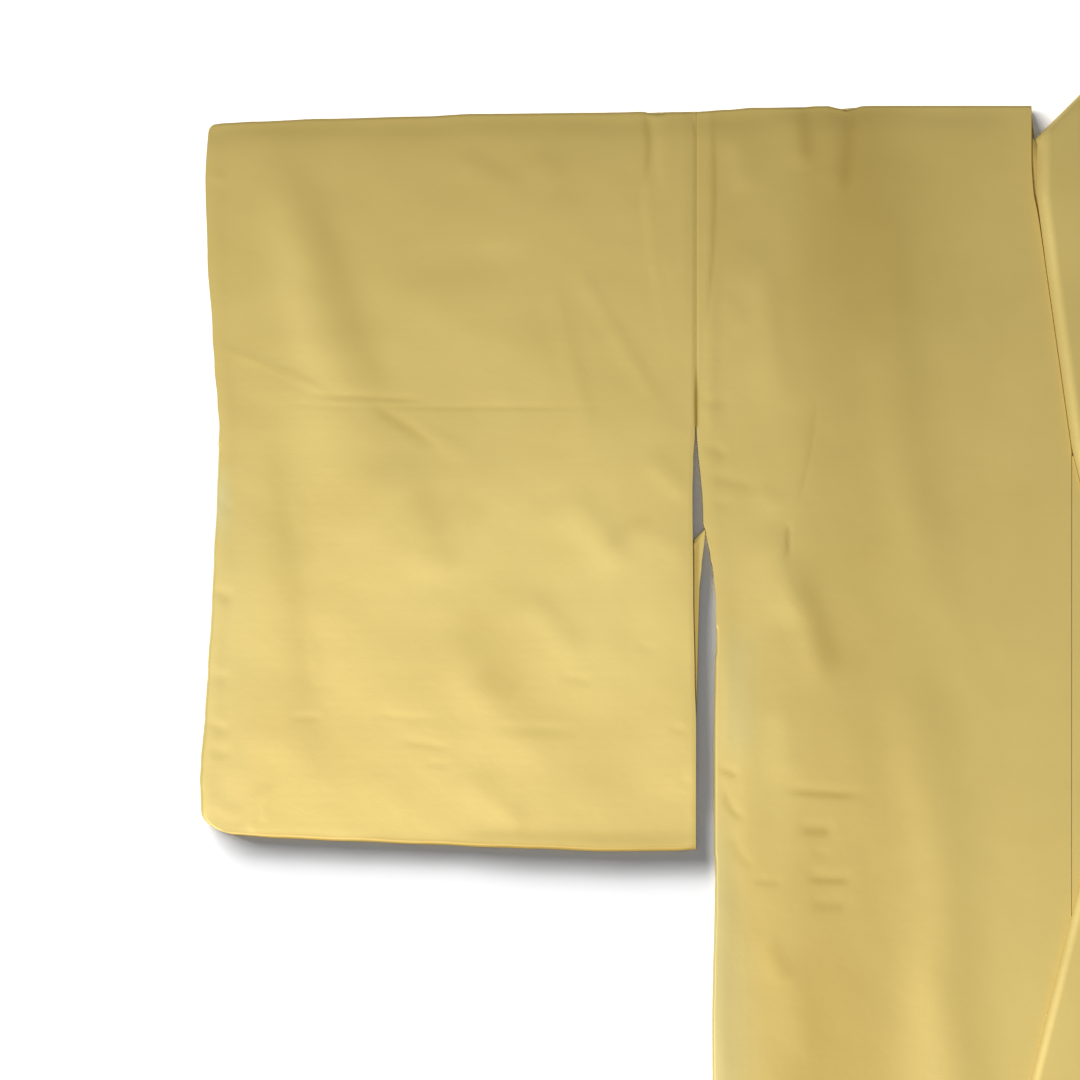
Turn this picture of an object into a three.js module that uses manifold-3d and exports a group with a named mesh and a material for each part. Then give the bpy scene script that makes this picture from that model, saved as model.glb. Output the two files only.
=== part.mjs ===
// A kimono laid out flat with its front side up and its fronts closed, in millimetres.
// X runs across the garment, Y from the hem to the shoulder, Z up from the surface it lies on.
// A point's "drop" is its distance below the shoulder fold.
import * as THREE from "three";
import { mergeVertices } from "three/addons/utils/BufferGeometryUtils.js";
import Module from "manifold-3d";

const wasm = await Module();
wasm.setup();

// Cloth
const WALL = 1.2;
const PLY_GAP = 0.6;
const SEAM_GAP = 0.3;
const BACK_TOP = WALL;
const FRONT_BASE = WALL + PLY_GAP;
const EDGE_ROUND = 3.2;
const EDGE_START = 1.5;
const EDGE_SOLID = 2.0;

// Cut sizes
const BODY_LENGTH = 1600;
const SHOULDER_HALF = 318;
const BODY_HALF = 306;
const SLEEVE_WIDTH = 328;
const SLEEVE_DROP = 492;
const SLEEVE_SEWN = 216;
const UNDERARM_END = 351;
const CUFF_OPENING = 230;
const CORNER_RADIUS = 22;
const OVERLAP_SEAM = 66;
const OVERLAP_POINT = 230;
const OVERLAP_EDGE_COLLAR = 75;
const OVERLAP_EDGE_HEM = 84;
const COLLAR_END = 800;
const COLLAR_WIDTH = 55;
const COLLAR_THICK = 2.0;
const NECK_HALF = 90;
const NECK_DROP = 23;
const SEAM_BEND = 60;
const OVER_COLLAR_REACH = 440;
const COLLAR_REACH = NECK_HALF + COLLAR_END - NECK_DROP;
const OVER_COLLAR_WALL = 1.0;
const ROLL_RADIUS = 2.7;
const SHOULDER_Y = BODY_LENGTH - 817;

// Fineness of the panels' grids, and how far a face may be simplified
const STEP_FINE = 9;
const STEP_PLAIN = 12;
const STEP_COARSE = 26;
const SIMPLIFY = 0.15;

// Edges of the right sleeve and body by drop below the shoulder: x is the distance from the middle.
const RIGHT_CUFF_EDGE = [
  { drop: 0, x: 645.0 }, { drop: 47, x: 647.3 }, { drop: 100, x: 645.9 }, { drop: 152, x: 642.6 },
  { drop: 200, x: 639.2 }, { drop: 222, x: 637.9 }, { drop: 268, x: 639.9 }, { drop: 341, x: 643.2 },
  { drop: 418, x: 647.9 }, { drop: 462, x: 651.3 }, { drop: 495, x: 650.6 },
];
const LEFT_CUFF_EDGE = [
  { drop: 0, x: 646.5 }, { drop: 60, x: 645.2 }, { drop: 130, x: 643.0 }, { drop: 190, x: 641.4 },
  { drop: 250, x: 642.6 }, { drop: 330, x: 646.0 }, { drop: 400, x: 645.0 }, { drop: 470, x: 651.3 },
  { drop: 495, x: 650.9 },
];
const RIGHT_FREE_EDGE = [
  { drop: 0, x: 318.15 }, { drop: 216, x: 318.15 }, { drop: 230, x: 319.3 }, { drop: 262, x: 320.4 },
  { drop: 330, x: 320.0 }, { drop: 386, x: 319.0 }, { drop: 416, x: 318.2 }, { drop: 505, x: 318.2 },
];
const LEFT_FREE_EDGE = [
  { drop: 0, x: 318.15 }, { drop: 216, x: 318.15 }, { drop: 240, x: 319.6 }, { drop: 300, x: 321.4 },
  { drop: 380, x: 320.2 }, { drop: 450, x: 319.4 }, { drop: 505, x: 319.8 },
];
const RIGHT_LOWER_EDGE = [
  { drop: 0, x: 318.15 }, { drop: 216, x: 318.15 }, { drop: 230, x: 321.0 }, { drop: 287, x: 321.0 },
  { drop: 291, x: 315.6 }, { drop: 297, x: 314.2 }, { drop: 325, x: 316.0 }, { drop: 392, x: 317.3 },
  { drop: 416, x: 318.0 }, { drop: 505, x: 318.0 },
];
const LEFT_LOWER_EDGE = [
  { drop: 0, x: 318.15 }, { drop: 216, x: 318.15 }, { drop: 240, x: 320.2 }, { drop: 330, x: 320.0 },
  { drop: 420, x: 319.0 }, { drop: 505, x: 318.6 },
];
const RIGHT_SIDE_EDGE = [
  { drop: 0, x: 317.85 }, { drop: 216, x: 317.85 }, { drop: 224, x: 317.3 }, { drop: 246, x: 315.3 },
  { drop: 262, x: 313.5 }, { drop: 278, x: 313.2 }, { drop: 289, x: 310.6 }, { drop: 313, x: 306.5 },
  { drop: 332, x: 304.6 }, { drop: 365, x: 304.6 }, { drop: 418, x: 305.9 }, { drop: 500, x: 305.9 },
  { drop: 530, x: 305.2 }, { drop: 611, x: 307.2 }, { drop: 760, x: 306.0 }, { drop: 980, x: 304.4 },
  { drop: 1250, x: 306.4 }, { drop: 1600, x: 305.6 },
];
const LEFT_SIDE_EDGE = [
  { drop: 0, x: 317.85 }, { drop: 216, x: 317.85 }, { drop: 240, x: 315.0 }, { drop: 290, x: 310.0 },
  { drop: 340, x: 306.2 }, { drop: 430, x: 305.2 }, { drop: 620, x: 306.6 }, { drop: 850, x: 305.0 },
  { drop: 1200, x: 307.0 }, { drop: 1600, x: 306.0 },
];
// Sleeve's top and bottom edges by distance from the sleeve seam.
const SLEEVE_TOP = [
  { out: 0, drop: 3.6 }, { out: 26, drop: 5.2 }, { out: 60, drop: 4.8 }, { out: 150, drop: 5.6 },
  { out: 250, drop: 8.6 }, { out: 305, drop: 10.8 }, { out: 340, drop: 13.6 },
];
const SLEEVE_BOTTOM = [
  { out: 0, drop: 500.0 }, { out: 60, drop: 500.4 }, { out: 130, drop: 498.2 }, { out: 228, drop: 494.0 },
  { out: 290, drop: 491.6 }, { out: 340, drop: 489.0 },
];

// Raised folds: a run from (x1, d1) to (x2, d2) as distance from the middle and drop,
// bent sideways by "bend", with its half width and its height.
const RIGHT_SLEEVE_FOLDS = [
  { x1: 608, d1: 60, x2: 556, d2: 250, bend: 6, half: 24, high: 2.4 },
  { x1: 566, d1: 30, x2: 500, d2: 165, bend: -8, half: 26, high: 1.8 },
  { x1: 556, d1: 250, x2: 540, d2: 400, bend: 5, half: 30, high: 1.6 },
  { x1: 634, d1: 158, x2: 566, d2: 192, bend: -2, half: 7, high: 0.9 },
  { x1: 590, d1: 198, x2: 410, d2: 203, bend: 2, half: 8, high: 1.2 },
  { x1: 530, d1: 222, x2: 470, d2: 238, bend: 1, half: 8, high: 1.0 },
  { x1: 500, d1: 118, x2: 400, d2: 96, bend: 6, half: 18, high: 1.2 },
  { x1: 392, d1: 120, x2: 332, d2: 208, bend: -3, half: 9, high: 0.9 },
  { x1: 400, d1: 340, x2: 336, d2: 250, bend: 8, half: 22, high: 1.3 },
  { x1: 470, d1: 330, x2: 380, d2: 440, bend: -10, half: 30, high: 1.4 },
  { x1: 606, d1: 300, x2: 592, d2: 430, bend: 4, half: 20, high: 1.2 },
  { x1: 640, d1: 470, x2: 600, d2: 476, bend: 6, half: 11, high: 1.0 },
  { x1: 336, d1: 20, x2: 338, d2: 130, bend: 3, half: 13, high: 0.6 },
  { x1: 470, d1: 422, x2: 350, d2: 424, bend: 3, half: 9, high: 0.7 },
];
const LEFT_SLEEVE_FOLDS = [
  { x1: 600, d1: 40, x2: 520, d2: 210, bend: -7, half: 26, high: 2.2 },
  { x1: 520, d1: 210, x2: 500, d2: 380, bend: 6, half: 28, high: 1.5 },
  { x1: 470, d1: 30, x2: 430, d2: 150, bend: 8, half: 22, high: 1.5 },
  { x1: 632, d1: 205, x2: 430, d2: 214, bend: -3, half: 8, high: 1.1 },
  { x1: 400, d1: 100, x2: 336, d2: 190, bend: 3, half: 10, high: 0.9 },
  { x1: 420, d1: 300, x2: 340, d2: 262, bend: -6, half: 20, high: 1.2 },
  { x1: 590, d1: 330, x2: 560, d2: 460, bend: 5, half: 22, high: 1.3 },
  { x1: 450, d1: 440, x2: 350, d2: 420, bend: -4, half: 16, high: 0.9 },
  { x1: 336, d1: 24, x2: 338, d2: 120, bend: -2, half: 12, high: 0.6 },
];
const RIGHT_BODY_FOLDS = [
  { x1: 300, d1: 12, x2: 292, d2: 130, bend: -4, half: 16, high: 1.6 },
  { x1: 268, d1: 100, x2: 250, d2: 230, bend: 5, half: 20, high: 1.8 },
  { x1: 246, d1: 8, x2: 236, d2: 60, bend: 3, half: 12, high: 1.6 },
  { x1: 222, d1: 6, x2: 218, d2: 70, bend: -3, half: 12, high: 1.6 },
  { x1: 292, d1: 214, x2: 268, d2: 256, bend: 4, half: 13, high: 1.2 },
  { x1: 282, d1: 300, x2: 248, d2: 420, bend: 8, half: 20, high: 2.2 },
  { x1: 258, d1: 250, x2: 246, d2: 320, bend: -3, half: 14, high: 1.6 },
  { x1: 226, d1: 300, x2: 196, d2: 430, bend: 7, half: 20, high: 1.8 },
  { x1: 294, d1: 460, x2: 276, d2: 610, bend: -6, half: 18, high: 1.8 },
  { x1: 262, d1: 466, x2: 196, d2: 470, bend: 2, half: 8, high: 1.3 },
  { x1: 256, d1: 500, x2: 206, d2: 504, bend: -2, half: 8, high: 1.0 },
  { x1: 252, d1: 532, x2: 202, d2: 530, bend: 2, half: 8, high: 1.1 },
  { x1: 170, d1: 60, x2: 150, d2: 330, bend: 10, half: 24, high: 1.8 },
  { x1: 190, d1: 560, x2: 150, d2: 860, bend: -12, half: 28, high: 2.2 },
  { x1: 262, d1: 700, x2: 240, d2: 1010, bend: 10, half: 30, high: 2.0 },
  { x1: 160, d1: 960, x2: 200, d2: 1330, bend: 12, half: 30, high: 2.0 },
  { x1: 270, d1: 1120, x2: 256, d2: 1500, bend: -8, half: 28, high: 1.8 },
  { x1: 130, d1: 1390, x2: 146, d2: 1560, bend: 5, half: 22, high: 1.4 },
];
const LEFT_BODY_FOLDS = [
  { x1: 296, d1: 14, x2: 280, d2: 150, bend: 5, half: 17, high: 1.6 },
  { x1: 250, d1: 10, x2: 228, d2: 90, bend: -4, half: 14, high: 1.7 },
  { x1: 190, d1: 30, x2: 160, d2: 300, bend: 10, half: 24, high: 2.0 },
  { x1: 286, d1: 230, x2: 240, d2: 330, bend: -6, half: 18, high: 1.8 },
  { x1: 250, d1: 380, x2: 226, d2: 560, bend: 8, half: 22, high: 2.0 },
  { x1: 290, d1: 520, x2: 200, d2: 530, bend: 4, half: 10, high: 1.2 },
  { x1: 280, d1: 620, x2: 262, d2: 900, bend: -9, half: 26, high: 2.0 },
  { x1: 190, d1: 640, x2: 210, d2: 980, bend: 12, half: 30, high: 2.2 },
  { x1: 150, d1: 900, x2: 130, d2: 1250, bend: -10, half: 26, high: 1.8 },
  { x1: 250, d1: 1040, x2: 230, d2: 1420, bend: 10, half: 30, high: 2.0 },
  { x1: 170, d1: 1330, x2: 150, d2: 1560, bend: 6, half: 24, high: 1.5 },
];

// The collar's height at its middle, by drop, on each side.
const COLLAR_LEVEL_RIGHT = [
  { drop: 23, z: 7.7 }, { drop: 40, z: 7.6 }, { drop: 130, z: 3.8 }, { drop: 385, z: 3.8 },
  { drop: 480, z: 2.8 }, { drop: 800, z: 2.8 },
];
const COLLAR_LEVEL_LEFT = [
  { drop: 23, z: 7.7 }, { drop: 40, z: 7.6 }, { drop: 140, z: 6.6 }, { drop: 225, z: 8.9 },
  { drop: 400, z: 8.9 }, { drop: 500, z: 6.6 }, { drop: 560, z: 4.8 }, { drop: 800, z: 4.8 },
];

const clamp = (value, low, high) => Math.min(high, Math.max(low, value));
const smooth = (from, to, value) => {
  const t = clamp((value - from) / (to - from), 0, 1);
  return t * t * (3 - 2 * t);
};

// A table's value at a place, eased between its rows.
function lookUp(rows, key, column, at) {
  if (at <= rows[0][key]) return rows[0][column];
  for (let i = 1; i < rows.length; i++) {
    const a = rows[i - 1];
    const b = rows[i];
    if (at <= b[key]) return a[column] + (b[column] - a[column]) * smooth(a[key], b[key], at);
  }
  return rows[rows.length - 1][column];
}

// The height that a table of folds adds at a point.
function raised(folds, x, drop) {
  let sum = 0;
  for (const f of folds) {
    const dx = f.x2 - f.x1;
    const dd = f.d2 - f.d1;
    const length = Math.hypot(dx, dd);
    const along = ((x - f.x1) * dx + (drop - f.d1) * dd) / (length * length);
    if (along < -0.05 || along > 1.05) continue;
    const t = clamp(along, 0, 1);
    const away = ((x - f.x1) * dd - (drop - f.d1) * dx) / length - f.bend * Math.sin(Math.PI * t);
    if (Math.abs(away) > f.half) continue;
    const across = Math.cos((Math.PI * away) / (2 * f.half)) ** 2;
    const ends = smooth(0, 0.22, along) * smooth(0, 0.22, 1 - along);
    sum += f.high * across * ends;
  }
  return sum;
}

// A closed solid from flat lists of points and triangles.
function solid(points, triangles) {
  return new wasm.Manifold(
    new wasm.Mesh({
      numProp: 3,
      vertProperties: new Float32Array(points),
      triVerts: new Uint32Array(triangles),
    }),
  );
}

// A slab over a grid: place(u, v) gives x, y, its under side and its top.
function slab(us, vs, place) {
  const points = [];
  const triangles = [];
  const columns = us.length;
  const rows = vs.length;
  for (const side of [0, 1]) {
    for (const v of vs) {
      for (const u of us) {
        const p = place(u, v);
        points.push(p.x, p.y, side ? p.top : p.under);
      }
    }
  }
  const flip = place(1, 0).x < place(0, 0).x;
  const face = (a, b, c) => (flip ? triangles.push(a, c, b) : triangles.push(a, b, c));
  const quad = (a, b, c, d) => {
    face(a, b, c);
    face(a, c, d);
  };
  const lower = (i, j) => j * columns + i;
  const upper = (i, j) => rows * columns + j * columns + i;
  for (let j = 0; j + 1 < rows; j++) {
    for (let i = 0; i + 1 < columns; i++) {
      quad(lower(i, j), lower(i + 1, j), lower(i + 1, j + 1), lower(i, j + 1));
      quad(upper(i, j), upper(i, j + 1), upper(i + 1, j + 1), upper(i + 1, j));
    }
  }
  for (let i = 0; i + 1 < columns; i++) {
    quad(lower(i + 1, 0), lower(i, 0), upper(i, 0), upper(i + 1, 0));
    quad(lower(i, rows - 1), lower(i + 1, rows - 1), upper(i + 1, rows - 1), upper(i, rows - 1));
  }
  for (let j = 0; j + 1 < rows; j++) {
    quad(lower(0, j), lower(0, j + 1), upper(0, j + 1), upper(0, j));
    const k = columns - 1;
    quad(lower(k, j + 1), lower(k, j), upper(k, j), upper(k, j + 1));
  }
  return solid(points, triangles);
}

// Grid lines from 0 to a length: close together by the ends that are named, and a given step between.
function lines(length, step, marks = [], startEdge = true, endEdge = true) {
  const near = [0.5, 1.2, 2.0, 3.2, 6];
  const at = [0, length, ...marks];
  if (startEdge) at.push(...near);
  if (endEdge) at.push(...near.map((d) => length - d));
  const from = startEdge ? 6 : 0;
  const to = endEdge ? length - 6 : length;
  const count = Math.max(1, Math.round((to - from) / step));
  for (let i = 1; i < count; i++) at.push(from + ((to - from) * i) / count);
  at.sort((a, b) => a - b);
  return at.filter((d, i) => i === 0 || d - at[i - 1] > 0.25).map((d) => d / length);
}

// The rounded fall of a closed edge, and the depth at which the layers join there.
const edgeTop = (top, inside) => {
  const t = 1 - clamp(inside / EDGE_ROUND, 0, 1);
  return EDGE_START + (top - EDGE_START) * Math.sqrt(1 - t * t);
};
const edgeUnder = (under, inside) => (inside <= EDGE_SOLID ? 0.4 : under);

const cornerInset = (above) => {
  const t = CORNER_RADIUS - clamp(above, 0, CORNER_RADIUS);
  return CORNER_RADIUS - Math.sqrt(CORNER_RADIUS ** 2 - t * t);
};

// A sleeve: a folded piece, closed at the top, the bottom and the lower cuff edge.
function sleeve(side, cuffEdge, freeEdge, lowerEdge, folds, step) {
  const height = SLEEVE_DROP;
  const frame = (u, v, inner, inset) => {
    const rough = 8 + v * height;
    const out = clamp(u, 0, 1) * SLEEVE_WIDTH;
    const topDrop = lookUp(SLEEVE_TOP, "out", "drop", out) + inset;
    const bottomDrop = lookUp(SLEEVE_BOTTOM, "out", "drop", out) - inset;
    const drop = topDrop + (bottomDrop - topDrop) * v;
    const xIn = lookUp(inner, "drop", "x", rough);
    const corner = cornerInset((1 - v) * height) + 0.4 * cornerInset(v * height * 2.2);
    const xOut = lookUp(cuffEdge, "drop", "x", rough) - corner - inset;
    const far = xIn + (xOut - xIn) * u;
    return { x: side * far, y: SHOULDER_Y - drop, drop, far, wide: xOut - xIn };
  };
  const usBack = [0, 0.25, 0.5, 0.75, 1];
  const vsBack = lines(height, 30, [225, 283, 287, 291, 297, 305, 2, 5, 9, 480, 485, 488, 490]);
  const back = slab(usBack, vsBack, (u, v) => {
    const p = frame(u, v, lowerEdge, 0);
    return { x: p.x, y: p.y, under: 0, top: BACK_TOP };
  });
  const usFront = lines(SLEEVE_WIDTH, step, [], false, true);
  const vsFront = lines(height, step, [CUFF_OPENING - 1, CUFF_OPENING + 1]);
  const front = slab(usFront, vsFront, (u, v) => {
    const p = frame(u, v, freeEdge, 0.12);
    const fromTop = v * height;
    const fromBottom = (1 - v) * height;
    const fromCuff = fromTop > CUFF_OPENING ? (1 - u) * p.wide : 99;
    const inside = Math.min(fromTop, fromBottom, fromCuff);
    const calm = smooth(0, 22, Math.min(fromTop, fromBottom)) * smooth(0, 14, (1 - u) * p.wide);
    const calmInner = 0.35 + 0.65 * smooth(0, 20, u * p.wide);
    const lift = raised(folds, p.far, p.drop) * calm * calmInner;
    const top = FRONT_BASE + WALL + lift;
    return { x: p.x, y: p.y, under: edgeUnder(FRONT_BASE + lift, inside), top: edgeTop(top, inside) };
  });
  return back.add(front).simplify(SIMPLIFY);
}

// The collar's seam line: its distance from the middle, which passes to the other side low down.
function seamLine(drop) {
  if (drop <= OVERLAP_POINT) {
    const down = clamp((drop - SEAM_BEND) / (OVERLAP_POINT - SEAM_BEND), 0, 1);
    return NECK_HALF - (NECK_HALF - OVERLAP_SEAM) * down;
  }
  const t = (drop - OVERLAP_POINT) / (COLLAR_END - OVERLAP_POINT);
  return OVERLAP_SEAM - (OVERLAP_SEAM + OVERLAP_EDGE_COLLAR) * t;
}

// How high the left front must lie to clear the right overlap panel and the collar under it.
function leftLift(x, drop) {
  const seam = -seamLine(drop);
  const edge = drop < COLLAR_END ? seam : OVERLAP_EDGE_HEM;
  const overPanel = (WALL + PLY_GAP) * (1 - smooth(edge + 6, edge + 34, x)) * smooth(300, 360, drop);
  const collarTop = lookUp(COLLAR_LEVEL_RIGHT, "drop", "z", drop) + COLLAR_THICK / 2;
  const clear = collarTop + PLY_GAP + 0.2 - FRONT_BASE;
  const free = seam + COLLAR_WIDTH;
  const across = smooth(seam - 34, seam - 8, x) * (1 - smooth(free + 8, free + 40, x));
  const along = smooth(320, 360, drop) * (1 - smooth(COLLAR_END + 8, COLLAR_END + 40, drop));
  return Math.max(overPanel, clear * across * along);
}

// A body length: back from hem to shoulder, folded there into the front.
function body(side, sideEdge, folds, liftAt, step) {
  const inner = (drop) => {
    if (drop >= OVERLAP_POINT) return OVERLAP_SEAM + SEAM_GAP / 2;
    return seamLine(drop) + SEAM_GAP + 2.6 * (1 - smooth(34, 80, drop));
  };
  const marks = [216, 224, 246, 262, 278, 289, 313, 332, UNDERARM_END - 1, UNDERARM_END + 1, OVERLAP_POINT];
  const backRows = lines(BODY_LENGTH, 90, [...marks, NECK_DROP + SEAM_GAP]);
  const neckU = (NECK_HALF + 3) / SHOULDER_HALF;
  const backColumns = [0, 0.1, 0.2, neckU, neckU + 0.004, 0.5, 0.75, 1];
  const back = slab(backColumns, backRows, (u, v) => {
    const drop = v * BODY_LENGTH;
    const xOut = lookUp(sideEdge, "drop", "x", drop);
    const x = SEAM_GAP / 2 + (xOut - SEAM_GAP / 2) * u;
    return { x: side * x, y: SHOULDER_Y - drop, under: 0, top: BACK_TOP };
  });
  const neck = wasm.Manifold.cube([2 * (NECK_HALF + 2.8), 60, 20], true)
    .translate([0, SHOULDER_Y - NECK_DROP - SEAM_GAP + 30, 0]);
  const rows = [];
  const near = [0, 0.5, 1.2, 2.0, 3.2, 6];
  rows.push(...near, ...marks);
  const shown = 640;
  for (let d = 6 + step; d < shown; d += step) rows.push(d);
  for (let d = shown; d < BODY_LENGTH - 8; d += STEP_COARSE) rows.push(d);
  rows.push(BODY_LENGTH);
  rows.sort((a, b) => a - b);
  const vsFront = rows.filter((d, i) => i === 0 || d - rows[i - 1] > 0.25).map((d) => d / BODY_LENGTH);
  const usFront = lines(240, step + 2, [], false, true);
  const front = slab(usFront, vsFront, (u, v) => {
    const drop = v * BODY_LENGTH;
    const fromTop = drop;
    const xOut = lookUp(sideEdge, "drop", "x", drop) - 0.12;
    const xIn = inner(drop);
    const x = xIn + (xOut - xIn) * u;
    const fromSide = drop > UNDERARM_END ? xOut - x : 99;
    const inside = Math.min(fromTop, fromSide);
    const calm = smooth(0, 12, fromTop) * smooth(0, 12, xOut - x) * smooth(96, 118, x);
    const lift = raised(folds, x, drop) * calm + liftAt(x, drop);
    const top = FRONT_BASE + WALL + lift;
    return {
      x: side * x, y: SHOULDER_Y - drop - (drop === 0 ? 0.12 : 0),
      under: edgeUnder(FRONT_BASE + lift, inside), top: edgeTop(top, inside),
    };
  });
  return back.subtract(neck).add(front).simplify(SIMPLIFY);
}

// An overlap panel: its seam is straight, and its other edge follows the collar and then the front edge.
function overlap(side, liftAt) {
  const start = OVERLAP_POINT + 6;
  const length = BODY_LENGTH - start;
  const rows = [];
  for (let d = 0; d < 700; d += 18) rows.push(d);
  for (let d = 700; d < length - 20; d += 40) rows.push(d);
  rows.push(COLLAR_END - start - 1, COLLAR_END - start + 1, length);
  rows.sort((a, b) => a - b);
  const vs = rows.map((d) => d / length);
  const us = [0, 0.08, 0.16, 0.26, 0.36, 0.46, 0.56, 0.66, 0.76, 0.86, 1];
  return slab(us, vs, (u, v) => {
    const drop = start + v * length;
    const seam = OVERLAP_SEAM - SEAM_GAP / 2;
    const below = (drop - COLLAR_END) / (BODY_LENGTH - COLLAR_END);
    const free = drop <= COLLAR_END
      ? seamLine(drop) + SEAM_GAP
      : -(OVERLAP_EDGE_COLLAR + (OVERLAP_EDGE_HEM - OVERLAP_EDGE_COLLAR) * below);
    const x = seam + (free - seam) * u;
    const lift = liftAt(x, drop);
    return {
      x: side * x, y: SHOULDER_Y - drop,
      under: FRONT_BASE + lift, top: FRONT_BASE + WALL + lift,
    };
  }).simplify(SIMPLIFY * 0.6);
}

// A place on the collar band: "along" runs from the middle of the back to one side (right is
// positive), "wide" from the seam to the free edge, and "out" from its middle to its outer face.
function collarPlace(along, wide, out) {
  const right = along >= 0;
  const reach = Math.abs(along);
  const half = (Math.PI * ROLL_RADIUS) / 2;
  const across = (reach - NECK_HALF + wide) / Math.SQRT2;
  const axis = (wide - (reach - NECK_HALF)) / Math.SQRT2;
  const backLevel = COLLAR_THICK / 2 + SEAM_GAP + OVER_COLLAR_WALL;
  let c = across;
  let z = backLevel - out;
  if (across > half) {
    c = -across;
    z = backLevel + 2 * ROLL_RADIUS + out;
  } else if (across > -half) {
    const turn = across / ROLL_RADIUS;
    c = -half + (ROLL_RADIUS + out) * Math.cos(turn);
    z = backLevel + ROLL_RADIUS + (ROLL_RADIUS + out) * Math.sin(turn);
  }
  let x = NECK_HALF - axis / Math.SQRT2 + c / Math.SQRT2;
  let drop = NECK_DROP - axis / Math.SQRT2 - c / Math.SQRT2;
  if (across > half) {
    const level = right ? COLLAR_LEVEL_RIGHT : COLLAR_LEVEL_LEFT;
    x += seamLine(drop) - NECK_HALF;
    const settled = smooth(0, 8, across - half);
    z += (lookUp(level, "drop", "z", drop) - (backLevel + 2 * ROLL_RADIUS)) * settled;
  }
  return [right ? -x : x, SHOULDER_Y - drop, z];
}

// A band swept along the collar. Its stations cross it squarely, and slant to lie along each crease.
function band(section, reachEnd) {
  const half = (Math.PI * ROLL_RADIUS) / 2;
  const stations = [{ at: 0, slant: 0 }, { at: 12, slant: 0 }];
  for (const s of [-10, -half, -half / 2, 0, half / 2, half, 9, 14]) {
    stations.push({ at: NECK_HALF + s * Math.SQRT2, slant: 1 });
  }
  const bendAt = NECK_HALF + SEAM_BEND - NECK_DROP;
  const pointAt = NECK_HALF + OVERLAP_POINT - NECK_DROP;
  const plain = [bendAt, 150, 175, 200, 225, 250, 275, pointAt, 320, 350, 380, 410, OVER_COLLAR_REACH];
  plain.push(470, 500, 540, 580, 620, 680, 740, 800, COLLAR_REACH);
  for (const at of plain) {
    if (at <= reachEnd) stations.push({ at, slant: 1 - smooth(115, 225, at) });
  }
  const ordered = [
    ...stations.slice(1).reverse().map((s) => ({ ...s, sign: -1 })),
    ...stations.map((s) => ({ ...s, sign: 1 })),
  ];
  const points = [];
  const triangles = [];
  const around = section.length;
  for (const s of ordered) {
    for (const [wide, out] of section) {
      points.push(...collarPlace(s.sign * Math.max(0, s.at - s.slant * wide), wide, out));
    }
  }
  for (let i = 0; i + 1 < ordered.length; i++) {
    for (let k = 0; k < around; k++) {
      const m = (k + 1) % around;
      const a = i * around + k;
      const b = i * around + m;
      const c = (i + 1) * around + m;
      const d = (i + 1) * around + k;
      triangles.push(a, b, c, a, c, d);
    }
  }
  const outline = section.map(([wide, out]) => new THREE.Vector2(wide, out));
  const caps = THREE.ShapeUtils.triangulateShape(outline, []);
  const last = (ordered.length - 1) * around;
  for (const [a, b, c] of caps) {
    triangles.push(a, c, b);
    triangles.push(last + a, last + b, last + c);
  }
  const made = solid(points, triangles);
  if (made.volume() > 0) return made;
  const turned = [];
  for (let i = 0; i < triangles.length; i += 3) {
    turned.push(triangles[i], triangles[i + 2], triangles[i + 1]);
  }
  return solid(points, turned);
}

const thin = COLLAR_THICK / 2;
const inner = thin + SEAM_GAP;
const outer = inner + OVER_COLLAR_WALL;
const fold = COLLAR_WIDTH + 2 * SEAM_GAP;
const collarSection = [
  [0, -thin], [27, -thin], [54, -thin], [COLLAR_WIDTH, -thin / 2],
  [COLLAR_WIDTH, thin / 2], [54, thin], [27, thin], [0, thin],
];
const overSection = [
  [0, -outer], [27, -outer], [54, -outer], [fold + 1, -outer + 1.2],
  [fold + 1, outer - 1.2], [54, outer], [27, outer], [0, outer],
  [0, inner], [27, inner], [fold, inner], [fold, -inner], [27, -inner], [0, -inner],
];

const nothing = () => 0;
const sleeveTables = {
  right: [RIGHT_CUFF_EDGE, RIGHT_FREE_EDGE, RIGHT_LOWER_EDGE, RIGHT_SLEEVE_FOLDS],
  left: [LEFT_CUFF_EDGE, LEFT_FREE_EDGE, LEFT_LOWER_EDGE, LEFT_SLEEVE_FOLDS],
};
const pieces = [
  ["right_sleeve", sleeve(-1, ...sleeveTables.right, STEP_FINE)],
  ["left_sleeve", sleeve(1, ...sleeveTables.left, STEP_PLAIN)],
  ["right_body", body(-1, RIGHT_SIDE_EDGE, RIGHT_BODY_FOLDS, nothing, STEP_FINE)],
  ["left_body", body(1, LEFT_SIDE_EDGE, LEFT_BODY_FOLDS, leftLift, STEP_PLAIN)],
  ["right_overlap", overlap(-1, nothing)],
  ["left_overlap", overlap(1, leftLift)],
  ["collar", band(collarSection, COLLAR_REACH)],
  ["over_collar", band(overSection, OVER_COLLAR_REACH)],
];

const cloth = new THREE.MeshStandardMaterial({ color: 0xd9c172, roughness: 0.55, side: THREE.DoubleSide });
const garment = new THREE.Group();
garment.name = "kimono";
for (const [name, shape] of pieces) {
  const mesh = shape.getMesh();
  const geometry = new THREE.BufferGeometry()
    .setAttribute("position", new THREE.BufferAttribute(new Float32Array(mesh.vertProperties), 3))
    .setIndex(new THREE.BufferAttribute(new Uint32Array(mesh.triVerts), 1));
  const node = new THREE.Mesh(mergeVertices(geometry), cloth);
  node.name = name;
  garment.add(node);
}

export default garment;
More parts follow.
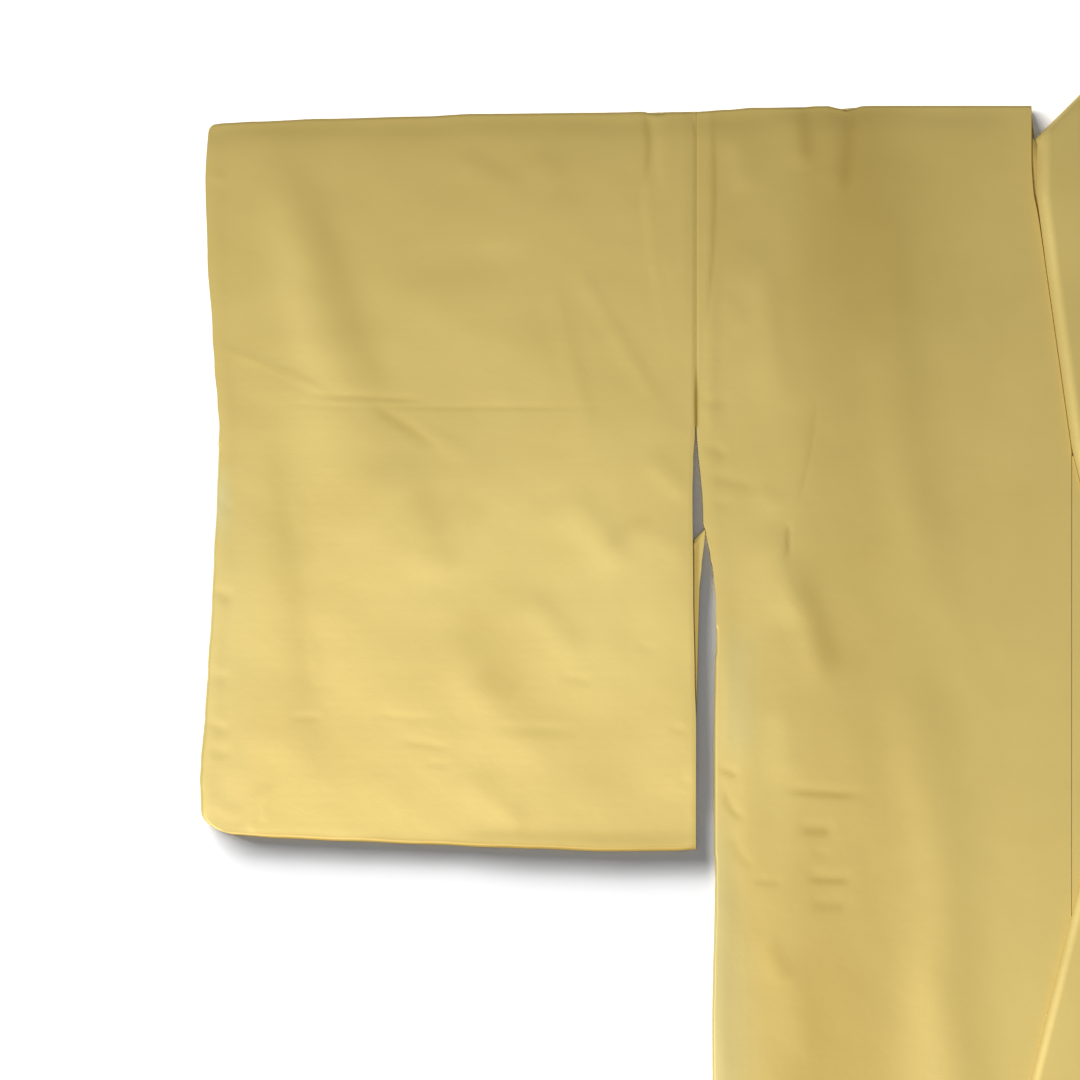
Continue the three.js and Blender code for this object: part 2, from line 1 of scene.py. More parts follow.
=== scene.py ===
# %% [markdown]
# # A plain golden-yellow tsukesage kimono, laid out flat
# A kimono is cut from one narrow bolt of silk, so every piece of it is a straight length: two body
# lengths that fold over the shoulders, two sleeves, two overlap panels for the fronts, and the collar
# with its wrapped outer band. It lies on its back with the fronts closed, and the picture looks
# straight down at one sleeve and a strip of the body beside it. This lesson builds each length as a
# thin sheet of cloth, in metres, on the solids that the frame holds.

# %% Load the frame
import math

import bmesh
import bpy
import numpy as np
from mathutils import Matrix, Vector


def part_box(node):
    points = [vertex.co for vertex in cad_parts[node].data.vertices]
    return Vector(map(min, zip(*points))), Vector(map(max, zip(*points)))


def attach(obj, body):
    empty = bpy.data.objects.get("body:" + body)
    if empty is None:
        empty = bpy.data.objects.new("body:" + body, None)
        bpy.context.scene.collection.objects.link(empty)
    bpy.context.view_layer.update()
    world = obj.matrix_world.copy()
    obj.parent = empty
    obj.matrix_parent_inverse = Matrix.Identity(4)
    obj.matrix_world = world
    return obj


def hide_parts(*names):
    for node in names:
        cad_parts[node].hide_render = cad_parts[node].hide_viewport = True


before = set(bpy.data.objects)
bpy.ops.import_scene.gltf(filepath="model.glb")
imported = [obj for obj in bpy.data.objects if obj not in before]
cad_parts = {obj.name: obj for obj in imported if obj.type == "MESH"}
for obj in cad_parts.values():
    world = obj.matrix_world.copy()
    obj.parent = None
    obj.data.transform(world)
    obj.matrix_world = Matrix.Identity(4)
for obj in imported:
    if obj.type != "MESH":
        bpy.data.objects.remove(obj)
scene = bpy.context.scene
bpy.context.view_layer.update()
for name in sorted(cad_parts):
    low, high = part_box(name)
    print(name, [round(1000 * v, 1) for v in low], [round(1000 * v, 1) for v in high])

# %% [markdown]
# ## Sizes and places
# The tables below work in the two measures that a kimono maker uses: the distance out from the centre
# back, and the drop below the shoulder fold, both in millimetres. One picture point of the study photo is
# 0.672 mm, because a standard sleeve is 492 mm long and 328 mm wide. The front layer's outer face lies 2.9 mm
# up, and at a closed edge it meets the back layer 0.9 mm up. An edge that is open counts as 99 mm away.

# %% Sizes in millimetres
SHOULDER = 783.0
LENGTH = 1600.0
CLOTH = 0.9
EDGE_LEVEL = 0.9
LAYER_FRONT = 2.9
SLEEVE_SEAM = 318.0
SLEEVE_LONG = 492.0
SLEEVE_WIDE = 326.0
SLEEVE_TOP = 8.0
SEWN_DROP = 216.0
UNDERARM_END = 351.0
CUFF_OPEN = 230.0
OPEN_EDGE = 99.0
POINT_MM = 0.672
PICTURE_POINTS = 1080
SEAM_COLUMN = 696
FOLD_ROW = 106
print("a sleeve is", SLEEVE_LONG, "long,", round(SLEEVE_LONG / POINT_MM), "points of the photo")


def smooth(start, end, value):
    """Eases from 0 at the start to 1 at the end."""
    t = np.clip((value - start) / (end - start), 0.0, 1.0)
    return t * t * (3 - 2 * t)


def look_up(rows, at):
    """Values of a (place, value) table, eased between its rows."""
    at = np.asarray(at, float)
    out = np.full(at.shape, float(rows[0][1]))
    for (a, va), (b, vb) in zip(rows, rows[1:]):
        out = np.where(at >= a, va + (vb - va) * smooth(a, b, at), out)
    return out


# %% [markdown]
# ## The camera first
# The photo was taken from straight above, so the camera hangs over the sleeve and looks down. Its place is
# worked out from where the photo shows the sleeve seam and the shoulder fold, and a long lens keeps the edges
# straight.

# %% Camera
camera_data = bpy.data.cameras.new("camera")
camera_data.lens = 85
camera_data.sensor_width = 36
camera = bpy.data.objects.new("camera", camera_data)
scene.collection.objects.link(camera)
view_width = PICTURE_POINTS * POINT_MM / 1000
camera_height = view_width * camera_data.lens / camera_data.sensor_width
middle_point = PICTURE_POINTS / 2
camera.location = (
    (-SLEEVE_SEAM + (middle_point - SEAM_COLUMN) * POINT_MM) / 1000,
    (SHOULDER - (middle_point - FOLD_ROW) * POINT_MM) / 1000,
    camera_height,
)
camera_data.clip_start = 0.05
camera_data.clip_end = 50
scene.camera = camera
print("camera", [round(v, 3) for v in camera.location], "sees", round(view_width, 3), "m across")

# %% [markdown]
# ## Creases as tables
# Silk that has been folded away keeps soft ridges and troughs. Each row of a table is one of them: where it
# starts and ends, how far it bows to one side, how wide it is on each side of its crest, and how high it
# stands. A negative height is a trough. Creases could also come from a cloth simulation or be sculpted, but
# here each one has its own place on the real sleeve, and a table puts it there in every run. Uneven rows look
# like cloth; equal ones look like corduroy.

# %% Crease tables: out1, drop1, out2, drop2, bow, width to the left, width to the right, height
SLEEVE_CREASES = [
    (600, 24, 550, 196, 4, 25, 24, 1.9),
    (552, 190, 512, 340, 2, 30, 30, 1.1),
    (590, 214, 564, 440, 2, 20, 26, -1.1),
    (348, 2, 350, 52, -2, 6, 8, -0.4),
    (478, 36, 438, 57, 0, 14, 10, 0.4),
    (428, 36, 408, 52, 0, 14, 12, 0.4),
    (512, 106, 428, 100, 2, 16, 15, -0.5),
    (414, 116, 391, 216, 0, 10, 7, 0.3),
    (398, 108, 342, 202, 0, 9, 6, 0.3),
    (342, 102, 337, 124, 0, 3, 3, -0.1),
    (640, 161, 566, 193, -2, 4, 2.6, 0.16),
    (574, 195, 498, 198, 0, 3, 5, -0.16),
    (532, 202.5, 392, 203, 0, 3, 4, -0.1),
    (590, 200, 540, 203, 0, 3, 3, -0.06),
    (536, 200, 492, 230, 0, 6, 6, -0.25),
    (506, 216, 468, 236, 0, 9, 8, 0.25),
    (520, 240, 486, 316, 0, 22, 20, 0.9),
    (486, 352, 408, 446, 6, 20, 22, 0.8),
    (408, 262, 366, 310, -3, 20, 14, 0.7),
    (366, 284, 322, 300, 0, 14, 12, 0.4),
    (352, 236, 322, 262, 0, 10, 10, 0.4),
    (430, 330, 396, 372, 0, 14, 12, 0.4),
    (474, 452, 430, 486, 0, 12, 12, 0.3),
]
SLEEVE_SMALL = [
    (590, 411, 570, 411, 0, 3, 4, -0.16),
    (534, 408, 494, 412, 1, 3, 4, -0.12),
    (516, 426, 484, 431, 0, 3, 4, -0.15),
    (500, 441, 484, 442, 0, 3, 3, -0.1),
    (454, 417, 400, 419, 0, 5, 4, -0.16),
    (336, 417, 322, 420, 0, 4, 3, -0.16),
    (408, 383, 388, 386, 0, 4, 4, -0.14),
    (358, 361, 346, 365, 0, 4, 4, -0.12),
    (646, 44, 634, 52, 0, 7, 6, 0.3),
    (642, 264, 630, 272, 1, 5, 5, -0.25),
    (644, 326, 630, 332, -1, 6, 6, -0.3),
    (646, 412, 632, 420, 1, 5, 5, -0.25),
    (646, 380, 632, 384, 1, 6, 5, -0.2),
    (646, 430, 630, 434, 1, 5, 5, -0.16),
    (642, 464, 622, 476, 3, 7, 6, 0.12),
    (610, 458, 616, 488, 2, 5, 4, 0.2),
    (604, 456, 608, 480, 2, 4, 4, 0.16),
    (330, 452, 320, 456, 0, 4, 4, -0.12),
]
BODY_CREASES = [
    (307, 8, 312, 150, -3, 3, 4, -0.25),
    (296, 14, 284, 60, 0, 12, 16, 0.4),
    (252, 2, 247, 40, 1, 14, 8, 0.5),
    (224, 3, 225, 58, 1, 12, 9, 0.5),
    (206, 2, 210, 60, 0, 8, 12, 0.4),
    (276, 96, 262, 200, 2, 24, 16, 0.8),
    (300, 126, 286, 152, 0, 10, 9, 0.25),
    (316, 197, 296, 201, 1, 4, 5, -0.2),
    (314, 229, 298, 236, -1, 5, 6, -0.22),
    (309, 248, 278, 256, 1, 5, 6, -0.2),
    (307, 264, 296, 268, 1, 4, 4, -0.14),
    (276, 258, 262, 270, 0, 8, 8, 0.2),
    (238, 198, 250, 266, -2, 3, 3, -0.16),
    (256.5, 280, 256.5, 304, 0, 3, 3, -0.3),
    (268, 284, 252, 346, 2, 20, 14, 0.9),
    (256, 310, 232, 388, -2, 14, 15, 0.7),
    (300, 360, 284, 520, -6, 14, 18, 0.6),
    (262, 400, 256, 452, 0, 18, 12, 0.5),
    (258, 458, 204, 461, 1, 5, 5, -0.22),
    (250, 484, 226, 486, 0, 6, 7, -0.25),
    (244, 517, 212, 518, 1, 5, 6, -0.25),
    (242, 535, 214, 536, 1, 6, 7, -0.18),
    (240, 500, 228, 504, 0, 5, 5, -0.14),
    (304, 443, 290, 449, 0, 3.5, 4, -0.16),
    (301, 456, 286, 479, 3, 4, 4, -0.16),
    (295, 488, 281, 512, 2, 5, 5, -0.14),
    (280, 519, 260, 521, 0, 4, 4, -0.14),
    (270, 556, 256, 590, 2, 12, 10, 0.25),
    (262, 470, 250, 640, 2, 24, 18, 0.3),
    (190, 40, 160, 330, 10, 26, 22, 1.4),
    (176, 380, 150, 620, -8, 24, 24, 1.3),
    (262, 660, 240, 960, 12, 30, 24, 1.8),
    (160, 560, 140, 860, -10, 26, 26, 1.6),
    (214, 700, 196, 1040, 9, 22, 28, 1.4),
    (170, 960, 204, 1320, 12, 30, 26, 1.7),
    (276, 1100, 258, 1480, -8, 26, 26, 1.4),
    (130, 1220, 146, 1540, 6, 22, 24, 1.3),
    (262, 820, 190, 828, 3, 8, 8, 0.8),
    (262, 1190, 150, 1196, -4, 9, 9, 0.8),
    (282, 1386, 210, 1380, 3, 8, 8, 0.7),
]
OTHER_SLEEVE_CREASES = [
    (604, 40, 520, 216, -8, 22, 34, 2.0),
    (522, 210, 500, 392, 6, 30, 26, 1.4),
    (474, 28, 430, 152, 8, 24, 18, 1.3),
    (400, 24, 372, 66, 3, 14, 12, 0.8),
    (634, 204, 420, 215, -3, 5, 5, 0.7),
    (620, 150, 560, 176, 3, 7, 5, 0.8),
    (402, 100, 334, 192, 3, 9, 7, 0.8),
    (424, 300, 340, 262, -6, 22, 20, 1.0),
    (590, 330, 560, 462, 5, 22, 18, 1.1),
    (452, 440, 350, 420, -4, 18, 16, 0.7),
    (500, 424, 452, 428, 1, 4, 4, -0.5),
    (640, 462, 610, 476, 3, 6, 6, 0.7),
    (560, 300, 540, 350, 3, 16, 14, -0.7),
    (470, 230, 440, 280, 4, 18, 18, -0.7),
]
OTHER_BODY_CREASES = [
    (306, 14, 306, 118, -2, 5, 7, 0.8),
    (296, 20, 276, 152, 5, 18, 18, 1.3),
    (252, 4, 232, 92, -4, 12, 12, 1.2),
    (226, 2, 228, 40, 1, 6, 6, -1.0),
    (196, 30, 164, 300, 10, 26, 22, 1.6),
    (290, 230, 244, 330, -6, 18, 16, 1.4),
    (304, 236, 290, 240, 1, 5, 5, -0.5),
    (304, 262, 288, 268, 1, 5, 5, -0.5),
    (254, 380, 226, 560, 8, 22, 22, 1.6),
    (282, 520, 204, 530, 3, 5, 5, -0.9),
    (270, 548, 214, 552, -2, 5, 5, -0.7),
    (286, 620, 262, 900, -9, 26, 24, 1.6),
    (190, 640, 214, 980, 12, 28, 30, 1.8),
    (150, 900, 130, 1250, -10, 24, 26, 1.5),
    (256, 1040, 230, 1420, 10, 30, 26, 1.7),
    (176, 1330, 152, 1560, 6, 22, 24, 1.3),
    (280, 1000, 180, 1010, -3, 8, 8, 0.7),
    (260, 1270, 150, 1262, 4, 9, 9, 0.7),
]

# %% [markdown]
# ## Painted shade
# In each fold the silk's colour is painted a little darker as painted shade, and broad bands of painted shade
# darken the shoulder, the sleeve's lower edge and the body. A noise texture would lay such places anywhere,
# so they have tables of their own. The rows have the same columns as the creases, with the depth of the
# painted shade in place of the height; a negative one is a paler place of painted light.

# %% Painted shade tables
SLEEVE_PAINTED_SHADE = [
    (670, 20, 300, 20, 0, 110, 60, 0.12),
    (670, 480, 300, 480, 0, 60, 90, 0.05),
    (660, 400, 610, 500, 0, 70, 80, 0.12),
    (420, 220, 350, 400, 0, 80, 60, -0.17),
    (540, 270, 460, 340, 0, 60, 60, -0.08),
    (574, 60, 526, 196, 3, 12, 13, 0.10),
    (600, 60, 562, 260, 2, 16, 16, -0.08),
    (602, 224, 582, 400, 0, 12, 12, 0.05),
    (353, 4, 352, 48, -2, 3, 3, 0.22),
    (345, 10, 341, 60, 0, 5, 5, -0.08),
    (580, 194, 500, 199, 0, 1.6, 1.6, 0.10),
    (532, 203, 400, 204, 0, 1.6, 1.6, 0.08),
    (534, 203, 494, 228, 0, 4, 4, 0.16),
    (636, 163, 582, 187, -1, 1.6, 1.6, 0.10),
    (512, 262, 490, 288, 0, 14, 14, 0.07),
    (482, 258, 462, 280, 0, 12, 12, 0.07),
    (504, 300, 478, 308, 0, 10, 10, 0.06),
    (462, 378, 440, 396, 0, 16, 16, 0.06),
    (380, 298, 346, 276, -4, 8, 8, 0.08),
    (480, 492, 318, 494, 0, 9, 9, 0.11),
    (440, 466, 434, 492, 0, 8, 8, 0.06),
    (646, 328, 630, 330, 0, 4, 4, 0.08),
    (640, 266, 632, 268, 0, 4, 4, 0.08),
]
BODY_PAINTED_SHADE = [
    (340, 30, 180, 30, 0, 150, 60, 0.16),
    (214, 10, 200, 170, 0, 24, 90, 0.08),
    (306, 470, 292, 700, 0, 60, 60, 0.14),
    (236, -80, 234, 900, 0, 22, 60, 0.15),
    (190, -80, 190, 900, 0, 40, 90, 0.13),
    (300, 600, 296, 1840, 0, 50, 60, 0.08),
    (236, 600, 230, 1840, 0, 60, 60, 0.14),
    (150, 700, 150, 1840, 0, 50, 60, 0.10),
    (307, 10, 311, 140, -3, 1.8, 1.8, 0.20),
    (246, -4, 243, 38, 0, 7, 6, 0.12),
    (213, -4, 219, 58, 0, 6, 7, 0.12),
    (296, 26, 288, 60, 0, 10, 10, -0.07),
    (278, 104, 270, 186, 0, 12, 10, -0.07),
    (238, 198, 250, 266, -2, 1.6, 1.6, 0.10),
    (257, 282, 257, 302, 0, 1.8, 2.2, 0.30),
    (248, 318, 227, 384, -2, 10, 12, 0.13),
    (256, 461, 212, 464, 0, 3, 3, 0.20),
    (247, 487, 228, 488, 0, 4, 4, 0.18),
    (242, 520, 216, 521, 0, 3, 3, 0.16),
    (240, 537, 218, 538, 0, 4, 4, 0.10),
    (303, 446, 291, 451, 0, 2, 2, 0.18),
    (299, 460, 287, 480, 3, 2.4, 2.4, 0.18),
    (293, 490, 281, 513, 2, 3, 3, 0.08),
    (278, 522, 262, 523, 0, 3, 3, 0.08),
    (270, 562, 256, 586, 0, 8, 8, 0.08),
    (270, 490, 240, 760, 0, 70, 60, 0.12),
    (236, 560, 216, 700, 0, 50, 60, 0.07),
    (308, 199, 296, 200, 0, 3, 3, 0.10),
    (309, 230, 298, 236, 0, 4, 4, 0.10),
    (306, 250, 280, 256, 0, 5, 5, 0.08),
]
OTHER_SLEEVE_PAINTED_SHADE = [
    (596, 60, 520, 196, -6, 12, 13, 0.10),
    (520, 224, 500, 360, 4, 14, 14, 0.06),
    (470, 380, 440, 396, 0, 16, 16, 0.08),
    (630, 206, 430, 216, -3, 1.8, 1.8, 0.08),
]
OTHER_BODY_PAINTED_SHADE = [
    (218, -80, 214, 900, 0, 46, 90, 0.14),
    (307, 10, 310, 130, -3, 1.8, 1.8, 0.18),
    (280, 522, 206, 532, 3, 3, 3, 0.14),
    (248, 2, 236, 60, -2, 6, 6, 0.16),
]


# %% Creases and swells
def creased(rows, out, drop):
    """The height that a table of creases gives at each point; a crease fades at both its ends."""
    height = np.zeros(np.broadcast(out, drop).shape)
    for out1, drop1, out2, drop2, bow, left, right, high in rows:
        run_out, run_drop = out2 - out1, drop2 - drop1
        length = math.hypot(run_out, run_drop)
        along = ((out - out1) * run_out + (drop - drop1) * run_drop) / length**2
        inside = np.clip(along, 0, 1)
        away = ((out - out1) * run_drop - (drop - drop1) * run_out) / length
        away = away - bow * np.sin(np.pi * inside)
        width = np.where(away > 0, left, right)
        across = np.where(np.abs(away) < 2.2 * width, np.exp(-1.6 * (away / width) ** 2), 0)
        ends = smooth(-0.12, 0.25, along) * smooth(-0.12, 0.25, 1 - along)
        height += high * across * ends
    return height


def uneven(out, drop, size, seed):
    """Gentle swells, the same in each run: a few waves of about the given size in uneven directions."""
    random = np.random.default_rng(seed)
    total = np.zeros(np.broadcast(out, drop).shape)
    for _ in range(9):
        angle, phase = random.uniform(0, math.tau, 2)
        wave = size * random.uniform(0.7, 1.6)
        total += np.sin((out * math.cos(angle) + drop * math.sin(angle)) * math.tau / wave + phase)
    return total / 9


# %% [markdown]
# ## From grid to cloth
# A sheet starts as a grid of points over the panel, with its outer face where the silk's outer face is. The
# Solidify modifier then gives it the thickness of the cloth on the inside. A folded length has a front and a
# back grid in one mesh, and both round down to meet at the fold. A plane pushed about by hand would do for a
# single piece, but a grid with a rule keeps each edge where the maker cuts it, and its points lie closer
# together where the picture looks.

# %% Sheet helpers
def grid(columns, rows, place):
    """Points and faces of a grid: place(u, v) takes arrays and gives x, y and z in millimetres."""
    u, v = np.meshgrid(columns, rows)
    x, y, z = place(u, v)
    points = np.stack([x, y, z], axis=-1).reshape(-1, 3)
    n, m = len(rows), len(columns)
    index = np.arange(n * m).reshape(n, m)
    a, b = index[:-1, :-1].ravel(), index[:-1, 1:].ravel()
    c, d = index[1:, 1:].ravel(), index[1:, :-1].ravel()
    return points, np.stack([a, b, c, d], axis=1)


def cloth_object(name, parts):
    """One mesh of several grids, each (points, faces, facing up), with its thickness and smooth faces.
    Faces that a rounded corner has squeezed to nothing are left out.
    """
    all_points, all_faces, base = [], [], 0
    for points, faces, up in parts:
        a, b, c, d = (points[faces[:, k]] for k in range(4))
        size = np.linalg.norm(np.cross(c - a, d - b), axis=1)
        used, faces = np.unique(faces[size > 1e-3], return_inverse=True)
        points, faces = points[used], faces.reshape(-1, 4)
        a, b, c = (points[faces[:, k]] for k in range(3))
        normal_z = np.cross(b - a, c - a)[:, 2]
        wrong = (normal_z.sum() > 0) != up
        all_faces.append((faces[:, ::-1] if wrong else faces) + base)
        all_points.append(points)
        base += len(points)
    points = np.concatenate(all_points) / 1000
    faces = np.concatenate(all_faces)
    mesh = bpy.data.meshes.new(name)
    mesh.from_pydata(points.tolist(), [], faces.tolist())
    mesh.shade_smooth()
    piece = bpy.data.objects.new(name, mesh)
    scene.collection.objects.link(piece)
    solidify = piece.modifiers.new("thickness", "SOLIDIFY")
    solidify.thickness = CLOTH / 1000
    solidify.offset = -1
    solidify.use_even_offset = False
    return piece


def ruler(length, step, fine=(), near=(0.4, 0.9, 1.5, 2.2, 3.0), ends=(True, True)):
    """Places from 0 to 1 along a length: a steady step, closer by the ends, and finer in named stretches."""
    at = {0.0, float(length)}
    count = max(2, round(length / step))
    steady = [length * i / count for i in range(count + 1)]
    at.update(d for d in steady if not any(first < d < last for first, last, small in fine))
    for first, last, small in fine:
        at.update(np.arange(first, last, small).tolist())
    if ends[0]:
        at.update(near)
    if ends[1]:
        at.update(length - d for d in near)
    placed = sorted(at)
    kept = [placed[0]]
    for d in placed[1:-1]:
        if d - kept[-1] > 0.3 and placed[-1] - d > 0.3:
            kept.append(d)
    kept.append(placed[-1])
    return np.array(kept) / length


def edge_round(inside, radius):
    """How far a closed edge has risen, from 0 at the edge to 1 at the radius."""
    t = 1 - np.clip(inside / radius, 0, 1)
    return np.sqrt(np.clip(1 - t * t, 0, 1))


def front_level(lift, inside, radius):
    """The front layer's height, rounded down to the back layer at a closed edge."""
    return EDGE_LEVEL + (LAYER_FRONT + lift - EDGE_LEVEL) * edge_round(inside, radius)


def back_level(inside):
    """The back layer's height: flat on the ground, and rounded up to the front layer at a closed edge."""
    return EDGE_LEVEL * (1 - edge_round(inside, 1.6))


# %% [markdown]
# ## The sleeves
# A sleeve is one piece folded at the shoulder. Its bottom and the lower part of the wrist edge are sewn, the
# corner is softly rounded, and the edge next to the body hangs free below the sleeve seam. Along that seam
# the allowance inside lifts a narrow band, and the cloth dips into the seam itself. Each sleeve could be
# modelled by hand. Both come from one function here, because they are the same piece of sewing with other
# edges and other creases.

# %% Sleeve edges: (drop, distance from the middle) and, for top and bottom, (distance from the seam, drop)
NEAR_SLEEVE = {
    "cuff": [(0, 645.0), (47, 647.3), (100, 645.9), (152, 642.6), (176, 641.2), (200, 639.2), (218, 637.9),
             (232, 638.6), (268, 639.9), (309, 641.9), (341, 643.2), (386, 645.9), (418, 647.9), (450, 650.6),
             (462, 651.3), (474, 650.6), (495, 650.4)],
    "free": [(0, 318.0), (214, 318.0), (222, 318.9), (240, 320.0), (262, 320.5), (330, 320.0), (386, 319.0),
             (416, 318.1), (505, 318.1)],
    "lower": [(0, 318.0), (216, 318.0), (230, 321.2), (298.4, 321.2), (300.2, 314.0), (302, 313.4),
              (310, 314.2), (325, 315.8), (359, 316.7), (392, 317.4), (416, 318.0), (505, 318.2)],
    "top": [(0, 4.0), (18, 4.2), (24, 5.4), (30, 5.2), (36, 4.0), (60, 4.6), (150, 5.4), (187, 7.2),
            (253, 8.7), (300, 10.6), (319, 11.6), (340, 14.6)],
    "bottom": [(0, 499.4), (12, 500.4), (60, 500.8), (106, 499.0), (130, 498.2), (179, 496.0), (228, 494.0),
               (276, 492.0), (334, 489.8)],
}
FAR_SLEEVE = {
    "cuff": [(0, 646.5), (60, 645.2), (130, 643.0), (190, 641.4), (250, 642.6), (330, 646.0), (400, 645.0),
             (470, 651.2), (495, 650.9)],
    "free": [(0, 318.0), (214, 318.0), (240, 319.6), (300, 321.4), (380, 320.2), (450, 319.4), (505, 319.8)],
    "lower": [(0, 318.0), (216, 318.0), (240, 320.2), (330, 320.0), (420, 319.0), (505, 318.8)],
    "top": [(0, 4.0), (40, 5.2), (60, 4.6), (150, 5.8), (260, 9.0), (340, 13.0)],
    "bottom": [(0, 499.8), (60, 500.6), (130, 498.4), (230, 494.2), (300, 491.2), (334, 489.8)],
}


# %% Sleeve shape
TOP_CORNER = (6.56, 5.0)
LOW_CORNER = (17.0, 29.92)
TIP_DROP, TIP_UP, TIP_OVER = 300.4, 15.0, 2.4


def corner(from_end, tall, wide):
    """How far a rounded corner takes the edge in: a quarter of an ellipse."""
    t = 1 - np.clip(from_end / tall, 0, 1)
    return wide * (1 - np.sqrt(1 - t * t))


def sleeve_lift(out, drop, from_top, from_bottom, from_cuff, from_seam, creases, seed):
    """How the front layer rises and sinks: creases and swells, calm near its edges, and its seams."""
    calm = smooth(0, 12, from_top) * smooth(0, 8, from_bottom) * (0.3 + 0.7 * smooth(0, 12, from_cuff))
    calm = calm * (0.25 + 0.75 * smooth(0, 10, from_seam))
    lift = creased(creases, out, drop) * calm
    lift += 0.55 * uneven(out, drop, 90, seed) * calm + 0.16 * uneven(out, drop, 34, seed + 1) * calm
    # The fold is pressed down, and the seams at the bottom and the wrist stand up a little.
    lift -= 1.1 * np.exp(-(((from_top - 2) / 10) ** 2))
    bottom_ridge = 0.15 + 0.5 * (1 - smooth(120, 180, from_seam))
    lift += bottom_ridge * np.exp(-(((from_bottom - 3) / 7) ** 2))
    lift += 0.4 * np.exp(-(((from_cuff - 5) / 6) ** 2)) * smooth(4, 30, from_bottom)
    # The allowance inside the sleeve seam lifts a band, which ends in an uneven line.
    band_edge = 31 + 6 * np.sin(drop / 40) - 0.02 * drop
    band = 0.5 * (1 - smooth(band_edge - 5, band_edge + 3, from_seam))
    lift += band * (1 - smooth(60, 190, drop)) * smooth(2, 9, from_seam)
    # The cloth dips into the seam, and below the sewn part the free edge stands higher.
    sewn = 1 - smooth(SEWN_DROP - 40, SEWN_DROP + 30, drop)
    lift -= (0.2 + 0.5 * sewn) * (1 - smooth(0, 3.0, from_seam))
    lift += (1 - sewn) * (1 - smooth(0, 46, from_seam)) * smooth(30, 60, from_bottom)
    return np.maximum(lift, -1.2)


def make_sleeve(name, side, edges, creases, step, seed):
    """A folded sleeve: side is -1 for the wearer's right one and 1 for the other."""
    def place(u, v, inner, front):
        rough = SLEEVE_TOP + v * SLEEVE_LONG
        from_top, from_bottom = v * SLEEVE_LONG, (1 - v) * SLEEVE_LONG
        top = look_up(edges["top"], u * SLEEVE_WIDE)
        bottom = look_up(edges["bottom"], u * SLEEVE_WIDE)
        drop = top + (bottom - top) * v
        x_in = look_up(inner, rough)
        x_out = look_up(edges["cuff"], rough) - corner(from_top, *TOP_CORNER)
        cut = corner(from_bottom, *LOW_CORNER)
        out = x_in + (x_out - x_in) * u - cut * np.clip((u - 0.82) / 0.18, 0, 1)
        if side < 0 and not front:
            # In the gap beside the body, a small tip of the lower layer points up.
            tip = np.clip(1 - (out - x_in) / 6.0, 0, 1) ** 2 * np.exp(-(((rough - TIP_DROP) / 1.5) ** 2))
            drop = drop - TIP_UP * tip
            out = out - TIP_OVER * tip
        from_cuff, from_seam = x_out - cut - out, out - x_in
        closed_cuff = np.where(rough > CUFF_OPEN, from_cuff, OPEN_EDGE)
        inside = np.minimum(np.minimum(from_top, from_bottom), closed_cuff)
        if front:
            lift = sleeve_lift(out, drop, from_top, from_bottom, from_cuff, from_seam, creases, seed)
            z = front_level(lift, inside, 2.6)
        else:
            # Beside the gap the lower layer's free edge lifts off the ground.
            free_edge = (1 - smooth(2, 14, from_seam)) * smooth(262, 282, drop)
            z = back_level(inside) + 1.3 * free_edge * smooth(30, 60, from_bottom)
        return side * out, SHOULDER - drop, z

    front_u = ruler(SLEEVE_WIDE, step)
    front_v = ruler(SLEEVE_LONG, step, fine=[(184, 202, step / 2)])
    back_u = ruler(SLEEVE_WIDE, 16, near=(0.4, 0.8, 1.2, 1.8, 2.4, 3.2, 4.0))
    back_v = ruler(SLEEVE_LONG, 16, fine=[(284, 306, 0.8)], near=(0.6, 1.4))
    front = grid(front_u, front_v, lambda u, v: place(u, v, edges["free"], True))
    back = grid(back_u, back_v, lambda u, v: place(u, v, edges["lower"], False))
    piece = cloth_object(name, [(*front, True), (*back, False)])
    print(name, len(piece.data.vertices), "points")
    return piece


# %% Both sleeves
FINE = 2.0
PLAIN = 4.0
all_creases = SLEEVE_CREASES + SLEEVE_SMALL
near_sleeve = make_sleeve("right_sleeve_cloth", -1, NEAR_SLEEVE, all_creases, step=FINE, seed=11)
far_sleeve = make_sleeve("left_sleeve_cloth", 1, FAR_SLEEVE, OTHER_SLEEVE_CREASES, step=PLAIN, seed=23)

# %% [markdown]
# ## The body lengths
# Each body length runs from the back hem over the shoulder to the front hem. The front is narrower than the
# back, because the overlap panel carries on from its straight front seam. Under the arm the side is left
# open for a hand's length, then the side seam closes it. The wearer's left front lies on top, so it climbs
# over the panel and the collar beneath it. A simulation could drop one layer on the other. A rule for the
# climb is steadier, because layers a millimetre apart cut through each other easily.

# %% Body edges: (drop, distance from the middle)
NEAR_SIDE = [(0, 318.0), (214, 318.0), (224, 317.3), (233, 316.6), (246, 315.2), (256, 314.0), (268, 313.3),
             (279, 313.2), (289, 310.8), (302, 308.5), (313, 306.4), (330, 304.6), (365, 304.6), (372, 305.3),
             (418, 305.9), (500, 305.9), (508, 305.2), (540, 305.2), (554, 305.9), (581, 306.6), (611, 307.2),
             (760, 306.0), (980, 304.4), (1250, 306.4), (1600, 305.6)]
FAR_SIDE = [(0, 318.0), (214, 318.0), (240, 315.0), (290, 310.0), (340, 306.2), (430, 305.2), (620, 306.6),
            (850, 305.0), (1200, 307.0), (1600, 306.0)]
NEAR_TOP = [(0, 0), (200, 0), (206, 0.2), (213.2, 1.9), (217.2, 3.2), (221.2, 1.9), (230, 0.2),
            (236, 0.2), (250, 1.2), (279, 1.3), (298, 2.7), (318, 4.0)]
FAR_TOP = [(0, 0), (220, 0), (240, 0.6), (280, 1.6), (318, 4.0)]
COLLAR_LEVEL_UNDER = [(23, 7.7), (40, 7.6), (130, 3.8), (385, 3.8), (480, 2.8), (800, 2.8)]
